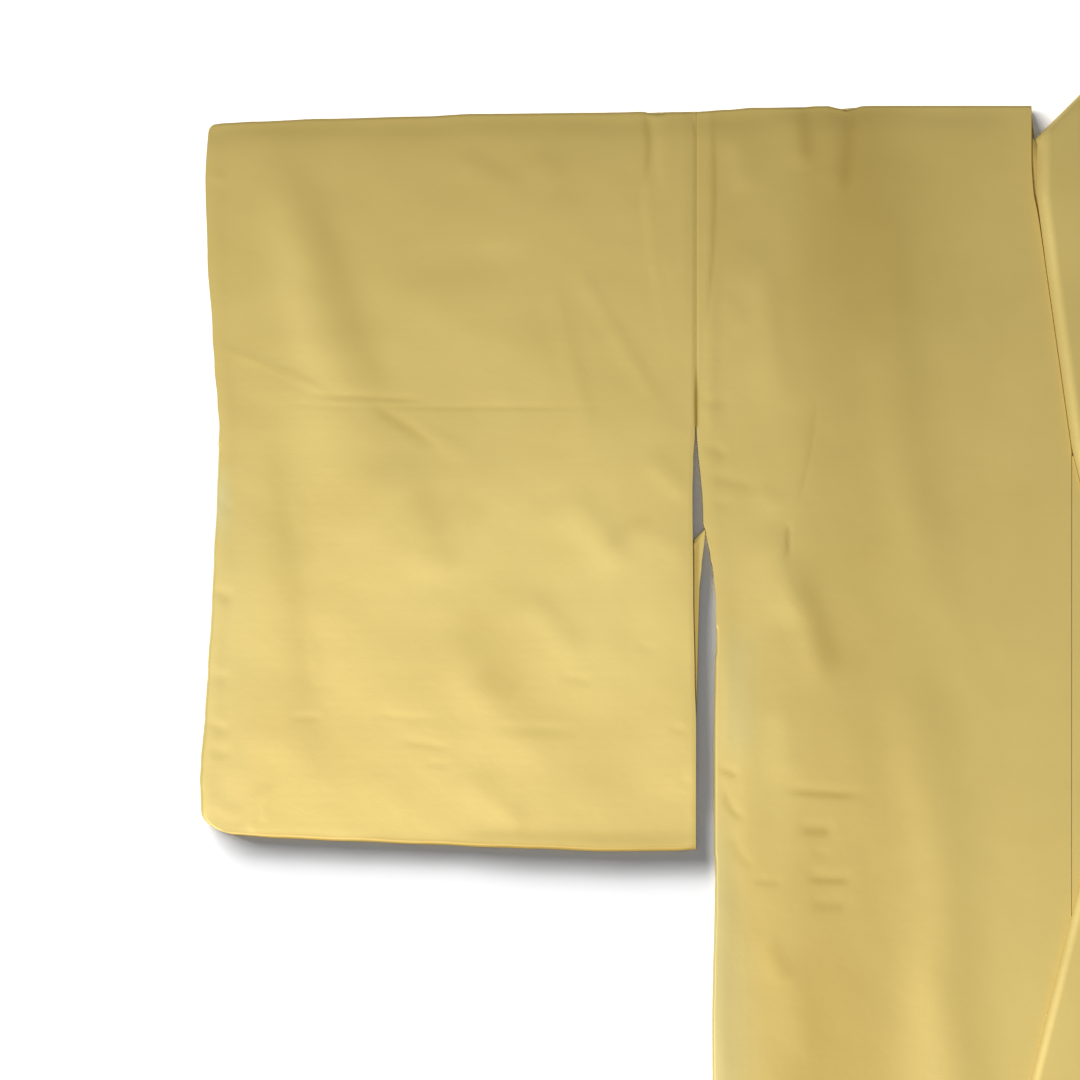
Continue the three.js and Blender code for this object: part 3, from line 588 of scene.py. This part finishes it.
COLLAR_LEVEL_UPPER = [(23, 7.7), (40, 7.6), (140, 6.6), (225, 8.9), (400, 8.9), (500, 6.6), (560, 4.8),
                      (800, 4.8)]
OVERLAP_SEAM, OVERLAP_POINT, COLLAR_END = 66.0, 230.0, 800.0
NECK_HALF, NECK_DROP, NECK_SIDE_END = 90.0, 23.0, 60.0
FRONT_WIDE, OVERLAP_WIDE = 250.0, 150.0
FRONT_EDGE, HEM_SPREAD = 75.0, 9.0


def seam_line(drop):
    """The collar's seam: its distance from the middle, which crosses to the other side low down."""
    along = np.clip((drop - NECK_SIDE_END) / (OVERLAP_POINT - NECK_SIDE_END), 0, 1)
    upper = NECK_HALF - (NECK_HALF - OVERLAP_SEAM) * along
    below = (drop - OVERLAP_POINT) / (COLLAR_END - OVERLAP_POINT)
    lower = OVERLAP_SEAM - (OVERLAP_SEAM + FRONT_EDGE) * below
    return np.where(drop <= OVERLAP_POINT, upper, lower)


def lift_over(out, drop):
    """How far the left front climbs to clear the right overlap panel and the collar under it."""
    seam = -seam_line(drop)
    edge = np.where(drop < COLLAR_END, seam, FRONT_EDGE + HEM_SPREAD)
    panel = 1.8 * (1 - smooth(edge + 6, edge + 34, out)) * smooth(300, 360, drop)
    across = smooth(seam - 34, seam - 8, out) * (1 - smooth(seam + 63, seam + 95, out))
    along = smooth(320, 360, drop) * (1 - smooth(COLLAR_END + 8, COLLAR_END + 40, drop))
    return np.maximum(panel, look_up(COLLAR_LEVEL_UNDER, drop) * across * along)


# %% Body shape
def body_lift(out, drop, from_side, creases, seed):
    """How the front layer rises and sinks: creases and swells, calm near its edges, and its seams."""
    beside_collar = smooth(96, 122, out)
    calm = smooth(0, 9, drop) * (0.25 + 0.75 * smooth(0, 10, from_side)) * beside_collar
    lift = creased(creases, out, drop) * calm
    lift += (0.5 * uneven(out, drop, 110, seed) + 0.14 * uneven(out, drop, 36, seed + 1)) * calm
    lift -= np.exp(-(((drop - 2) / 10) ** 2)) * beside_collar
    # The cloth dips into the sleeve seam beside a ridge, and lower down the side edge stands up a little.
    sewn = 1 - smooth(SEWN_DROP - 6, SEWN_DROP + 8, drop)
    lift -= 0.35 * sewn * (1 - smooth(0, 1.6, from_side))
    lift += 0.45 * sewn * np.exp(-(((from_side - 9.5) / 5) ** 2))
    lift += 0.2 * (1 - sewn) * np.exp(-(((from_side - 6) / 6) ** 2))
    return np.maximum(lift, -1.1)


def make_body(name, side, side_edge, top_edge, creases, climbs, shown, step, seed):
    """A body length: the points are closer together down to the drop that the photo shows."""
    def front_place(u, v):
        drop = v * LENGTH
        x_out = look_up(side_edge, drop)
        beside_neck = seam_line(drop) + 0.4 + 2.6 * (1 - smooth(34, 80, drop))
        x_in = np.where(drop < OVERLAP_POINT, beside_neck, OVERLAP_SEAM + 0.2)
        out = x_in + (x_out - x_in) * (1 - u)
        from_side = x_out - out
        closed_side = np.where(drop > UNDERARM_END, from_side, OPEN_EDGE)
        lift = body_lift(out, drop, from_side, creases, seed)
        if climbs:
            lift += lift_over(out, drop)
        z = front_level(lift, np.minimum(drop, closed_side), 1.8)
        lower = look_up(top_edge, out) * (1 - smooth(0, 60, drop))
        return side * out, SHOULDER - drop - lower, z

    def back_place(u, v):
        drop = v * LENGTH
        x_out = look_up(side_edge, drop)
        out = 0.15 + (x_out - 0.15) * (1 - u)
        closed_side = np.where(drop > UNDERARM_END, x_out - out, OPEN_EDGE)
        from_top = np.where(out > NECK_HALF + 2, drop, OPEN_EDGE)
        below_neck = np.where(out < NECK_HALF + 2.9, np.maximum(drop, NECK_DROP + 0.3), drop)
        lower = look_up(top_edge, out) * (1 - smooth(0, 60, drop))
        return side * out, SHOULDER - below_neck - lower, back_level(np.minimum(from_top, closed_side))

    rows = ruler(LENGTH, 7.0, fine=[(0, shown, step)] if shown else [], ends=(True, False))
    columns = ruler(FRONT_WIDE, 5.0, fine=[(0, 128, step)] if shown else [])
    front = grid(columns, rows, front_place)
    back_rows = ruler(LENGTH, 40, fine=[(200, 360, 10), (20, 26, 3.3)], near=(0.6, 1.4), ends=(True, False))
    back_columns = ruler(SLEEVE_SEAM, 24, fine=[(222, 230, 2.9)], near=(0.6, 1.4), ends=(True, False))
    back = grid(back_columns, back_rows, back_place)
    piece = cloth_object(name, [(*front, True), (*back, False)])
    print(name, len(piece.data.vertices), "points")
    return piece


# %% Both body lengths
near_body = make_body(
    "right_body_cloth", -1, NEAR_SIDE, NEAR_TOP, BODY_CREASES, climbs=False, shown=640, step=FINE, seed=31
)
far_body = make_body(
    "left_body_cloth", 1, FAR_SIDE, FAR_TOP, OTHER_BODY_CREASES, climbs=True, shown=0, step=PLAIN, seed=43
)

# %% [markdown]
# ## The overlap panels
# A long panel widens each front so that the two can wrap. Its outer edge is a straight seam, its top runs
# to a point under the collar, and its other edge follows the collar and then the open front down to the hem.
# It could be cut out of a rectangle with a Boolean. Here the columns of the grid are squeezed between the
# seam and the slanting edge instead, which leaves clean four-sided faces.

# %% Overlap panels
def make_overlap(name, side, climbs, seed):
    start = OVERLAP_POINT + 5
    long = LENGTH - start

    def place(u, v):
        drop = start + v * long
        seam = OVERLAP_SEAM - 0.15
        below = (drop - COLLAR_END) / (LENGTH - COLLAR_END)
        free = np.where(drop <= COLLAR_END, seam_line(drop) + 0.3, -(FRONT_EDGE + HEM_SPREAD * below))
        out = seam + (free - seam) * u
        lift = np.zeros(out.shape)
        if climbs:
            swell = 0.3 * uneven(out, drop, 120, seed) * smooth(0, 20, seam - out) * smooth(0, 20, out - free)
            lift = lift_over(out, drop) + np.maximum(swell, -0.15)
        return side * out, SHOULDER - drop, LAYER_FRONT + lift

    sheet = grid(ruler(OVERLAP_WIDE, 5.0), ruler(long, 7.0), place)
    return cloth_object(name, [(*sheet, True)])


under_overlap = make_overlap("right_overlap_cloth", -1, climbs=False, seed=51)
upper_overlap = make_overlap("left_overlap_cloth", 1, climbs=True, seed=53)
print("overlap panels", len(under_overlap.data.vertices), len(upper_overlap.data.vertices), "points")

# %% [markdown]
# ## The collar and its outer band
# The collar is a long flat tube of cloth. Behind the neck it lies above the shoulder line, at each side it
# turns over along a slanting crease, and then both halves run down the fronts and cross. The outer band wraps
# the middle part of it. A curve with a bevel could make a band like this, but it would twist where the collar
# turns over. So both are worked out from one rule: how far along the collar, how far across it, and how far
# out from its middle.

# %% Collar rule
ROLL = 2.7
COLLAR_WIDE = 55.0
COLLAR_DOWN = 777.0
BACK_LEVEL = 2.3
HALF_TURN = math.pi * ROLL / 2


def collar_place(along, wide, out):
    """A point of the collar. Along counts from the middle of the back, wide from the seam."""
    right = along >= 0
    reach = abs(along)
    across = (reach - NECK_HALF + wide) / math.sqrt(2)
    axis = (wide - (reach - NECK_HALF)) / math.sqrt(2)
    c, z = across, BACK_LEVEL - out
    if across > HALF_TURN:
        c, z = -across, BACK_LEVEL + 2 * ROLL + out
    elif across > -HALF_TURN:
        turn = across / ROLL
        c = -HALF_TURN + (ROLL + out) * math.cos(turn)
        z = BACK_LEVEL + ROLL + (ROLL + out) * math.sin(turn)
    x = NECK_HALF + (c - axis) / math.sqrt(2)
    drop = NECK_DROP - (c + axis) / math.sqrt(2)
    if across > HALF_TURN:
        x += float(seam_line(np.array(drop))) - NECK_HALF
        level = float(look_up(COLLAR_LEVEL_UNDER if right else COLLAR_LEVEL_UPPER, drop))
        settled = float(smooth(0, 8, across - HALF_TURN))
        z += (level - (BACK_LEVEL + 2 * ROLL)) * settled
    return (-x if right else x), SHOULDER - drop, z


# %% Collar band
def make_band(name, section, reach):
    """A closed tube swept along the collar, with slanted stations where it turns over."""
    turning = [HALF_TURN * quarter / 4 for quarter in range(-4, 5)]
    stations = [(0, 0), (12, 0)]
    stations += [(NECK_HALF + s * math.sqrt(2), 1) for s in (-10, *turning, 9, 14)]
    stations += [(at, 1 - float(smooth(115, 225, at))) for at in np.arange(127, reach, 8)]
    stations.append((reach, 0))
    ordered = [(-1, *s) for s in reversed(stations[1:])] + [(1, *s) for s in stations]
    points, faces, around = [], [], len(section)
    for sign, at, slant in ordered:
        for wide, out in section:
            ripple = 0.12 * math.sin(at / 23 + wide / 40) * math.sin(at / 61) if at > 140 and out > 0 else 0
            points.append(collar_place(sign * max(0, at - slant * wide), wide, out + ripple))
    for i in range(len(ordered) - 1):
        for k in range(around):
            m = (k + 1) % around
            faces.append((i * around + k, (i + 1) * around + k, (i + 1) * around + m, i * around + m))
    last = (len(ordered) - 1) * around
    faces.append(tuple(range(around)))
    faces.append(tuple(last + k for k in reversed(range(around))))
    mesh = bpy.data.meshes.new(name)
    mesh.from_pydata((np.array(points) / 1000).tolist(), [], faces)
    mesh.update()
    piece = bpy.data.objects.new(name, mesh)
    scene.collection.objects.link(piece)
    shape = bmesh.new()
    shape.from_mesh(mesh)
    bmesh.ops.recalc_face_normals(shape, faces=shape.faces)
    shape.to_mesh(mesh)
    shape.free()
    mesh.shade_smooth()
    return piece


def flat_section():
    """The collar's cross section: a flat band 2 mm thick, with softly rounded edges."""
    upper = []
    for w in np.linspace(0.15, COLLAR_WIDE - 0.15, 9):
        fullness = math.sin(math.pi * w / COLLAR_WIDE) ** 0.4
        upper.append((w, 0.72 + 0.28 * fullness))
    lower = [(w, -t) for w, t in reversed(upper)]
    return [(0, 0.3), *upper, (COLLAR_WIDE, 0.3), (COLLAR_WIDE, -0.3), *lower, (0, -0.3)]


def wrap_section(outer=2.3, inner=1.3, edge=56.5):
    """The outer band's cross section: a narrow U that holds the collar and is open towards its seam."""
    steps = np.linspace(0.0, 54.4, 7)
    section = [(w, outer) for w in steps]
    section += [(edge - 0.8, 2.1), (edge, inner), (edge, -inner), (edge - 0.8, -2.1)]
    section += [(w, -outer) for w in steps[::-1]] + [(w, -inner) for w in steps]
    section += [(edge - 1, -1.2), (edge - 1, 1.2)] + [(w, inner) for w in steps[::-1]]
    return section


# %% Collar and outer band
collar_piece = make_band("collar_cloth", flat_section(), NECK_HALF + COLLAR_DOWN)
over_piece = make_band("over_collar_cloth", wrap_section(), reach=440)
print("collar", len(collar_piece.data.vertices), "outer band", len(over_piece.data.vertices), "points")

# %% [markdown]
# ## The silk
# Plain kimono silk has a fine crepe weave, a golden yellow dye that has faded a little unevenly, and a satin
# sheen that brightens where the light glances off it. The colour varies slowly over the cloth, the weave is a
# fine bump, and the sheen comes from a tinted glossy share of the surface. A picture of silk could be wrapped
# on instead, but noise on the object's own coordinates needs no picture and shows no joins.

# %% Silk material
def link(tree, a, a_out, b, b_in):
    """Joins an output of one node to an input of another."""
    tree.links.new(a.outputs[a_out], b.inputs[b_in])


def add_node(tree, kind, **values):
    """A node with some of its inputs set: an underscore in a name stands for a space."""
    node = tree.nodes.new(kind)
    for socket, value in values.items():
        node.inputs[socket.replace("_", " ")].default_value = value
    return node


def mix_in(tree, amount, amount_out, colour):
    """A mix towards a colour, by what a node gives."""
    mix = tree.nodes.new("ShaderNodeMix")
    mix.data_type = "RGBA"
    mix.inputs["B"].default_value = (*colour, 1)
    link(tree, amount, amount_out, mix, "Factor")
    return mix


def dye(tree, place, base, green, dark, shade_colour):
    """The colour: uneven dye, turned by the marks on the cloth towards a paler green tint and towards a
    darker brown of painted shade.
    """
    blotch = add_node(tree, "ShaderNodeTexNoise", Scale=14.0, Detail=4.0, Roughness=0.55)
    link(tree, place, "Object", blotch, "Vector")
    shade = add_node(tree, "ShaderNodeMapRange", From_Min=0.3, From_Max=0.7)
    link(tree, blotch, "Fac", shade, "Value")
    colour = mix_in(tree, shade, "Result", base)
    colour.inputs["A"].default_value = (*dark, 1)
    # The first mark tints the colour paler and greener; the second darkens it towards brown as painted shade.
    for mark, other in (("green_tint", green), ("painted_shade", shade_colour)):
        value = tree.nodes.new("ShaderNodeAttribute")
        value.attribute_name = mark
        turned = mix_in(tree, value, "Fac", other)
        link(tree, colour, "Result", turned, "A")
        colour = turned
    return colour


def weave(tree, place):
    """The bump: a fine crepe with its weft, on soft swells."""
    crepe = add_node(tree, "ShaderNodeTexNoise", Scale=900.0, Detail=2.0)
    weft = add_node(tree, "ShaderNodeTexWave", Scale=420.0, Distortion=1.5, Detail=1.0)
    weft.bands_direction = "Y"
    swell = add_node(tree, "ShaderNodeTexNoise", Scale=60.0, Detail=3.0)
    for pattern in (crepe, weft, swell):
        link(tree, place, "Object", pattern, "Vector")
    threads = tree.nodes.new("ShaderNodeMath")
    threads.operation = "MULTIPLY_ADD"
    threads.inputs[1].default_value = 0.4
    link(tree, weft, "Fac", threads, 0)
    link(tree, crepe, "Fac", threads, 2)
    fine = add_node(tree, "ShaderNodeBump", Strength=0.19, Distance=0.00012)
    link(tree, threads, "Value", fine, "Height")
    soft = add_node(tree, "ShaderNodeBump", Strength=0.5, Distance=0.0003)
    link(tree, swell, "Fac", soft, "Height")
    link(tree, fine, "Normal", soft, "Normal")
    return soft


def make_silk(name, base, green, dark, shade_colour):
    material = bpy.data.materials.new(name)
    material.use_nodes = True
    tree = material.node_tree
    tree.nodes.clear()
    shader = add_node(
        tree, "ShaderNodeBsdfPrincipled", Metallic=0.22, Roughness=0.5, Specular_IOR_Level=0.5,
        Sheen_Weight=0.08, Sheen_Roughness=0.4, Sheen_Tint=(1.0, 0.86, 0.5, 1)
    )
    place = tree.nodes.new("ShaderNodeTexCoord")
    link(tree, dye(tree, place, base, green, dark, shade_colour), "Result", shader, "Base Color")
    link(tree, weave(tree, place), "Normal", shader, "Normal")
    link(tree, shader, "BSDF", tree.nodes.new("ShaderNodeOutputMaterial"), "Surface")
    return material


# The last colour is the brown of the painted shade.
silk = make_silk(
    "yellow_silk_look",
    base=(0.85, 0.665, 0.222), green=(0.79, 0.725, 0.34), dark=(0.81, 0.625, 0.20), shade_colour=(0.40, 0.25, 0.03)
)
print("silk has", len(silk.node_tree.nodes), "nodes")

# %% [markdown]
# ## Where the silk is tinted green and where shade is painted in
# Two values are kept at each point of the cloth. The first tells how far the silk is tinted paler and
# greener, by the wrist and low on the body's side. The second is painted shade: how much darker the colour is
# painted in the small creases, in the sleeve seam, at the turned edges, on the lower layer that shows in the
# gap beside the body, and in broad bands over the shoulder and the body. They could be painted by hand in
# Vertex Paint, but a rule puts them in the same places in every run.

# %% Green tint and painted shade
LOWER_LAYER_TOP = 2.0


def add_mark(piece, name, rule):
    """A 0 to 1 value at each point. The rule takes x, the drop and the height in millimetres."""
    points = np.empty(len(piece.data.vertices) * 3)
    piece.data.vertices.foreach_get("co", points)
    x, y, z = points.reshape(-1, 3).T * 1000
    values = np.clip(rule(x, SHOULDER - y, z), 0, 1)
    attribute = piece.data.attributes.new(name, "FLOAT", "POINT")
    attribute.data.foreach_set("value", values.astype(np.float32))
    print(piece.name, name, "up to", round(float(values.max()), 2))


def painted_shade_rule(rows):
    """The painted shade that a table gives, over an even start, with a line of painted shade along the sleeve
    seam.
    """
    def rule(x, drop, z):
        out = abs(x)
        seam = 1 - smooth(0.1, 1.1 + 1.2 * smooth(170, 200, drop), abs(out - SLEEVE_SEAM))
        seam = seam * (1 - smooth(SEWN_DROP - 2, SEWN_DROP + 3, drop))
        hem = np.where(out > SLEEVE_SEAM, look_up(NEAR_SLEEVE["bottom"], out - SLEEVE_SEAM), LENGTH)
        # Painted shade darkens the rim of the turned hem.
        turned = 0.6 * (1 - smooth(1.0, 4.6, hem - drop))
        return 0.17 + creased(rows, out, drop) + (0.2 + 0.6 * smooth(170, 196, drop)) * seam + turned
    return rule


def near_sleeve_painted_shade(x, drop, z):
    """The sleeve's painted shade, darker still on its lower layer where that shows in the gap beside the
    body.
    """
    in_gap = smooth(314.6, 317.6, -x) * (1 - smooth(326, 330, -x))
    in_gap = in_gap * smooth(284, 290, drop) * (1 - smooth(440, 470, drop))
    return painted_shade_rule(SLEEVE_PAINTED_SHADE)(x, drop, z) + 0.6 * in_gap * (z < LOWER_LAYER_TOP)


def sleeve_green_tint(x, drop, z):
    """A paler green place at the wrist, and a weak one all down that edge."""
    edge = smooth(-626, -638, x) * smooth(236, 264, drop) * (1 - smooth(262, 300, drop))
    return 0.75 * edge + 0.18 * smooth(-600, -640, x) * smooth(180, 320, drop)


def body_green_tint(x, drop, z):
    """A strip at the side that widens downwards, and a small patch above it."""
    reach = 8 + 20 * smooth(430, 640, drop)
    edge = 1 - smooth(-306, -306 + reach * 1.6, x)
    low = smooth(440, 540, drop)
    patch = 0.35 * np.exp(-(((x + 290) / 12) ** 2)) * smooth(340, 370, drop) * (1 - smooth(420, 450, drop))
    return 0.7 * edge * low + patch


def no_green_tint(x, drop, z):
    return 0 * x


# %% Mark and dress the pieces
pieces = {
    "right_sleeve": near_sleeve,
    "left_sleeve": far_sleeve,
    "right_body": near_body,
    "left_body": far_body,
    "right_overlap": under_overlap,
    "left_overlap": upper_overlap,
    "collar": collar_piece,
    "over_collar": over_piece,
}
# Where the silk is tinted paler and greener.
fades = {"right_sleeve": sleeve_green_tint, "right_body": body_green_tint}
# Painted shade for each piece; a negative value is painted light.
painted_shades = {
    "right_sleeve": near_sleeve_painted_shade,
    "right_body": painted_shade_rule(BODY_PAINTED_SHADE),
    "left_sleeve": painted_shade_rule(OTHER_SLEEVE_PAINTED_SHADE),
    "left_body": painted_shade_rule(OTHER_BODY_PAINTED_SHADE),
}
for node, piece in pieces.items():
    add_mark(piece, "green_tint", fades.get(node, no_green_tint))
    add_mark(piece, "painted_shade", painted_shades.get(node, painted_shade_rule([])))
    piece.data.materials.append(silk)

# %% [markdown]
# ## Small stitches in the seams
# Kimono seams are running stitches sewn by hand, so that the cloth can be taken apart and washed flat. A
# Geometry Nodes tree lays one thread stitch after another along each seam line: it divides the line evenly,
# puts a short rounded thread at each place, and turns it along the line. An Array modifier could repeat a
# stitch along one line, but the tree serves all the seams and keeps the sizes in named inputs.

# %% Stitch tree
def stitch_tree():
    """The tree, and the identifiers of its inputs by their names."""
    tree = bpy.data.node_groups.new("seam_stitches", "GeometryNodeTree")
    inputs = {}
    for label, kind in (("Geometry", "Geometry"), ("Spacing", "Float"), ("Thread radius", "Float"),
                        ("Stitch length", "Float"), ("Material", "Material")):
        socket = tree.interface.new_socket(label, in_out="INPUT", socket_type="NodeSocket" + kind)
        inputs[label] = socket.identifier
    tree.interface.new_socket("Geometry", in_out="OUTPUT", socket_type="NodeSocketGeometry")
    new = tree.nodes.new
    source, result = new("NodeGroupInput"), new("NodeGroupOutput")
    to_curve, along = new("GeometryNodeMeshToCurve"), new("GeometryNodeCurveToPoints")
    along.mode = "LENGTH"
    ball = add_node(tree, "GeometryNodeMeshUVSphere", Segments=8, Rings=6, Radius=1.0)
    size, shape = new("ShaderNodeCombineXYZ"), new("GeometryNodeTransform")
    put, real = new("GeometryNodeInstanceOnPoints"), new("GeometryNodeRealizeInstances")
    paint = new("GeometryNodeSetMaterial")
    for joint in (
        (source, "Geometry", to_curve, "Mesh"),
        (to_curve, "Curve", along, "Curve"),
        (source, "Spacing", along, "Length"),
        (along, "Points", put, "Points"),
        (along, "Rotation", put, "Rotation"),
        (source, "Thread radius", size, "X"),
        (source, "Thread radius", size, "Y"),
        (source, "Stitch length", size, "Z"),
        (size, "Vector", shape, "Scale"),
        (ball, "Mesh", shape, "Geometry"),
        (shape, "Geometry", put, "Instance"),
        (put, "Instances", real, "Geometry"),
        (real, "Geometry", paint, "Geometry"),
        (source, "Material", paint, "Material"),
        (paint, "Geometry", result, "Geometry"),
    ):
        link(tree, *joint)
    return tree, inputs


# %% Seam lines and their stitches
def seam_object(name, lines):
    """A mesh of edges only, one chain for each seam."""
    points, edges = [], []
    for line in lines:
        first = len(points)
        points += [(x / 1000, (SHOULDER - drop) / 1000, z / 1000) for x, drop, z in line]
        edges += [(k, k + 1) for k in range(first, len(points) - 1)]
    mesh = bpy.data.meshes.new(name)
    mesh.from_pydata(points, edges, [])
    piece = bpy.data.objects.new(name, mesh)
    scene.collection.objects.link(piece)
    return piece


def straight(x, start, end, z, step=12):
    """Points of a seam that runs straight down the cloth."""
    return [(x, float(d), z) for d in np.arange(start, end, step)]


seams = [
    straight(-SLEEVE_SEAM, 8, SEWN_DROP - 2, 1.75),
    straight(SLEEVE_SEAM, 8, SEWN_DROP - 2, 1.75),
    straight(OVERLAP_SEAM, 240, LENGTH - 8, 3.0),
    straight(-OVERLAP_SEAM, 760, LENGTH - 8, 1.9),
]
threads = seam_object("seam_stitches", seams)
tree, inputs = stitch_tree()
thread_look = make_silk(
    "yellow_thread",
    base=(0.70, 0.50, 0.13), green=(0.7, 0.6, 0.3), dark=(0.6, 0.42, 0.1), shade_colour=(0.4, 0.25, 0.03)
)
modifier = threads.modifiers.new("stitches", "NODES")
modifier.node_group = tree
modifier[inputs["Spacing"]] = 0.0034
modifier[inputs["Thread radius"]] = 0.00016
modifier[inputs["Stitch length"]] = 0.0011
modifier[inputs["Material"]] = thread_look
evaluated = threads.evaluated_get(bpy.context.evaluated_depsgraph_get())
plain = bpy.data.meshes.new_from_object(evaluated)
threads.modifiers.clear()
threads.data = plain
plain.shade_smooth()
print("stitches", len(plain.vertices), "points,", len(plain.materials), "material")

# %% [markdown]
# ## Fixing the pieces to the frame
# A sleeve is cut twice its length, and a body length runs from hem to hem with a narrower front. Every piece
# and the stitches are attached to the frame's root, and each piece's own part in the frame is hidden.

# %% Bodies and nodes
for node, piece in pieces.items():
    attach(piece, "root")
    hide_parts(node)
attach(threads, "root")

# %% [markdown]
# ## The floor and the light
# The garment was photographed on a plain white ground. One broad light at the lower left reaches only the
# cloth: it brightens the lower part of the sleeve and leaves the shoulder and the body darker. Five low
# lights in a fan at the upper left, and a weak one from above, reach only the ground. They keep it white and
# lay the soft wide shadow below and to the right of each edge.

# %% Floor
floor_mesh = bpy.data.meshes.new("floor")
corners = [(-30, -30, -0.0004), (30, -30, -0.0004), (30, 30, -0.0004), (-30, 30, -0.0004)]
floor_mesh.from_pydata(corners, [], [(0, 1, 2, 3)])
floor = bpy.data.objects.new("floor", floor_mesh)
scene.collection.objects.link(floor)
white = bpy.data.materials.new("white_ground")
white.use_nodes = True
ground = white.node_tree.nodes["Principled BSDF"]
ground.inputs["Base Color"].default_value = (0.93, 0.93, 0.93, 1)
ground.inputs["Roughness"].default_value = 0.9
ground.inputs["Specular IOR Level"].default_value = 0.1
floor_mesh.materials.append(white)

# %% Lights
def area_light(name, place, aim, wide, tall, power):
    data = bpy.data.lights.new(name, "AREA")
    data.shape = "RECTANGLE"
    data.size = wide
    data.size_y = tall
    data.energy = power
    light = bpy.data.objects.new(name, data)
    light.location = place
    light.rotation_euler = (Vector(aim) - Vector(place)).to_track_quat("-Z", "Y").to_euler()
    scene.collection.objects.link(light)
    return light


def sun_light(name, from_side, elevation, spread, strength):
    """Even light over the whole ground, from an angle round the garment and an elevation, in degrees."""
    data = bpy.data.lights.new(name, "SUN")
    data.angle = math.radians(spread)
    data.energy = strength
    turn, up = math.radians(from_side), math.radians(elevation)
    toward = Vector((math.cos(turn) * math.cos(up), math.sin(turn) * math.cos(up), math.sin(up)))
    light = bpy.data.objects.new(name, data)
    light.location = toward * 3
    light.rotation_euler = (-toward).to_track_quat("-Z", "Y").to_euler()
    scene.collection.objects.link(light)
    return light


def only_for(light, thing, state):
    """Lights only the thing, or all but the thing."""
    group = bpy.data.collections.new(light.name + "_on")
    group.objects.link(thing)
    group.collection_objects[0].light_linking.link_state = state
    light.light_linking.receiver_collection = group


# %% The lights of the photo
middle_x, middle_y = camera.location.x, camera.location.y
key_place = (middle_x - 0.7, middle_y - 1.35, 1.65)
key_aim = (middle_x, middle_y - 0.05, 0)
key = area_light("broad_lower_left", key_place, key_aim, wide=0.8, tall=0.8, power=56.5)
only_for(key, floor, "EXCLUDE")
for turn in (113, 124, 135, 146, 157):
    low = sun_light(f"low_upper_left_{turn}", turn, elevation=7.2, spread=8, strength=4.8)
    only_for(low, floor, "INCLUDE")
above = sun_light("over_the_ground", 0, elevation=89, spread=60, strength=0.2)
only_for(above, floor, "INCLUDE")

# %% The room
world = bpy.data.worlds.new("room")
world.use_nodes = True
world.node_tree.nodes["Background"].inputs["Color"].default_value = (1, 1, 1, 1)
world.node_tree.nodes["Background"].inputs["Strength"].default_value = 0.16
scene.world = world
scene.view_settings.view_transform = "Standard"
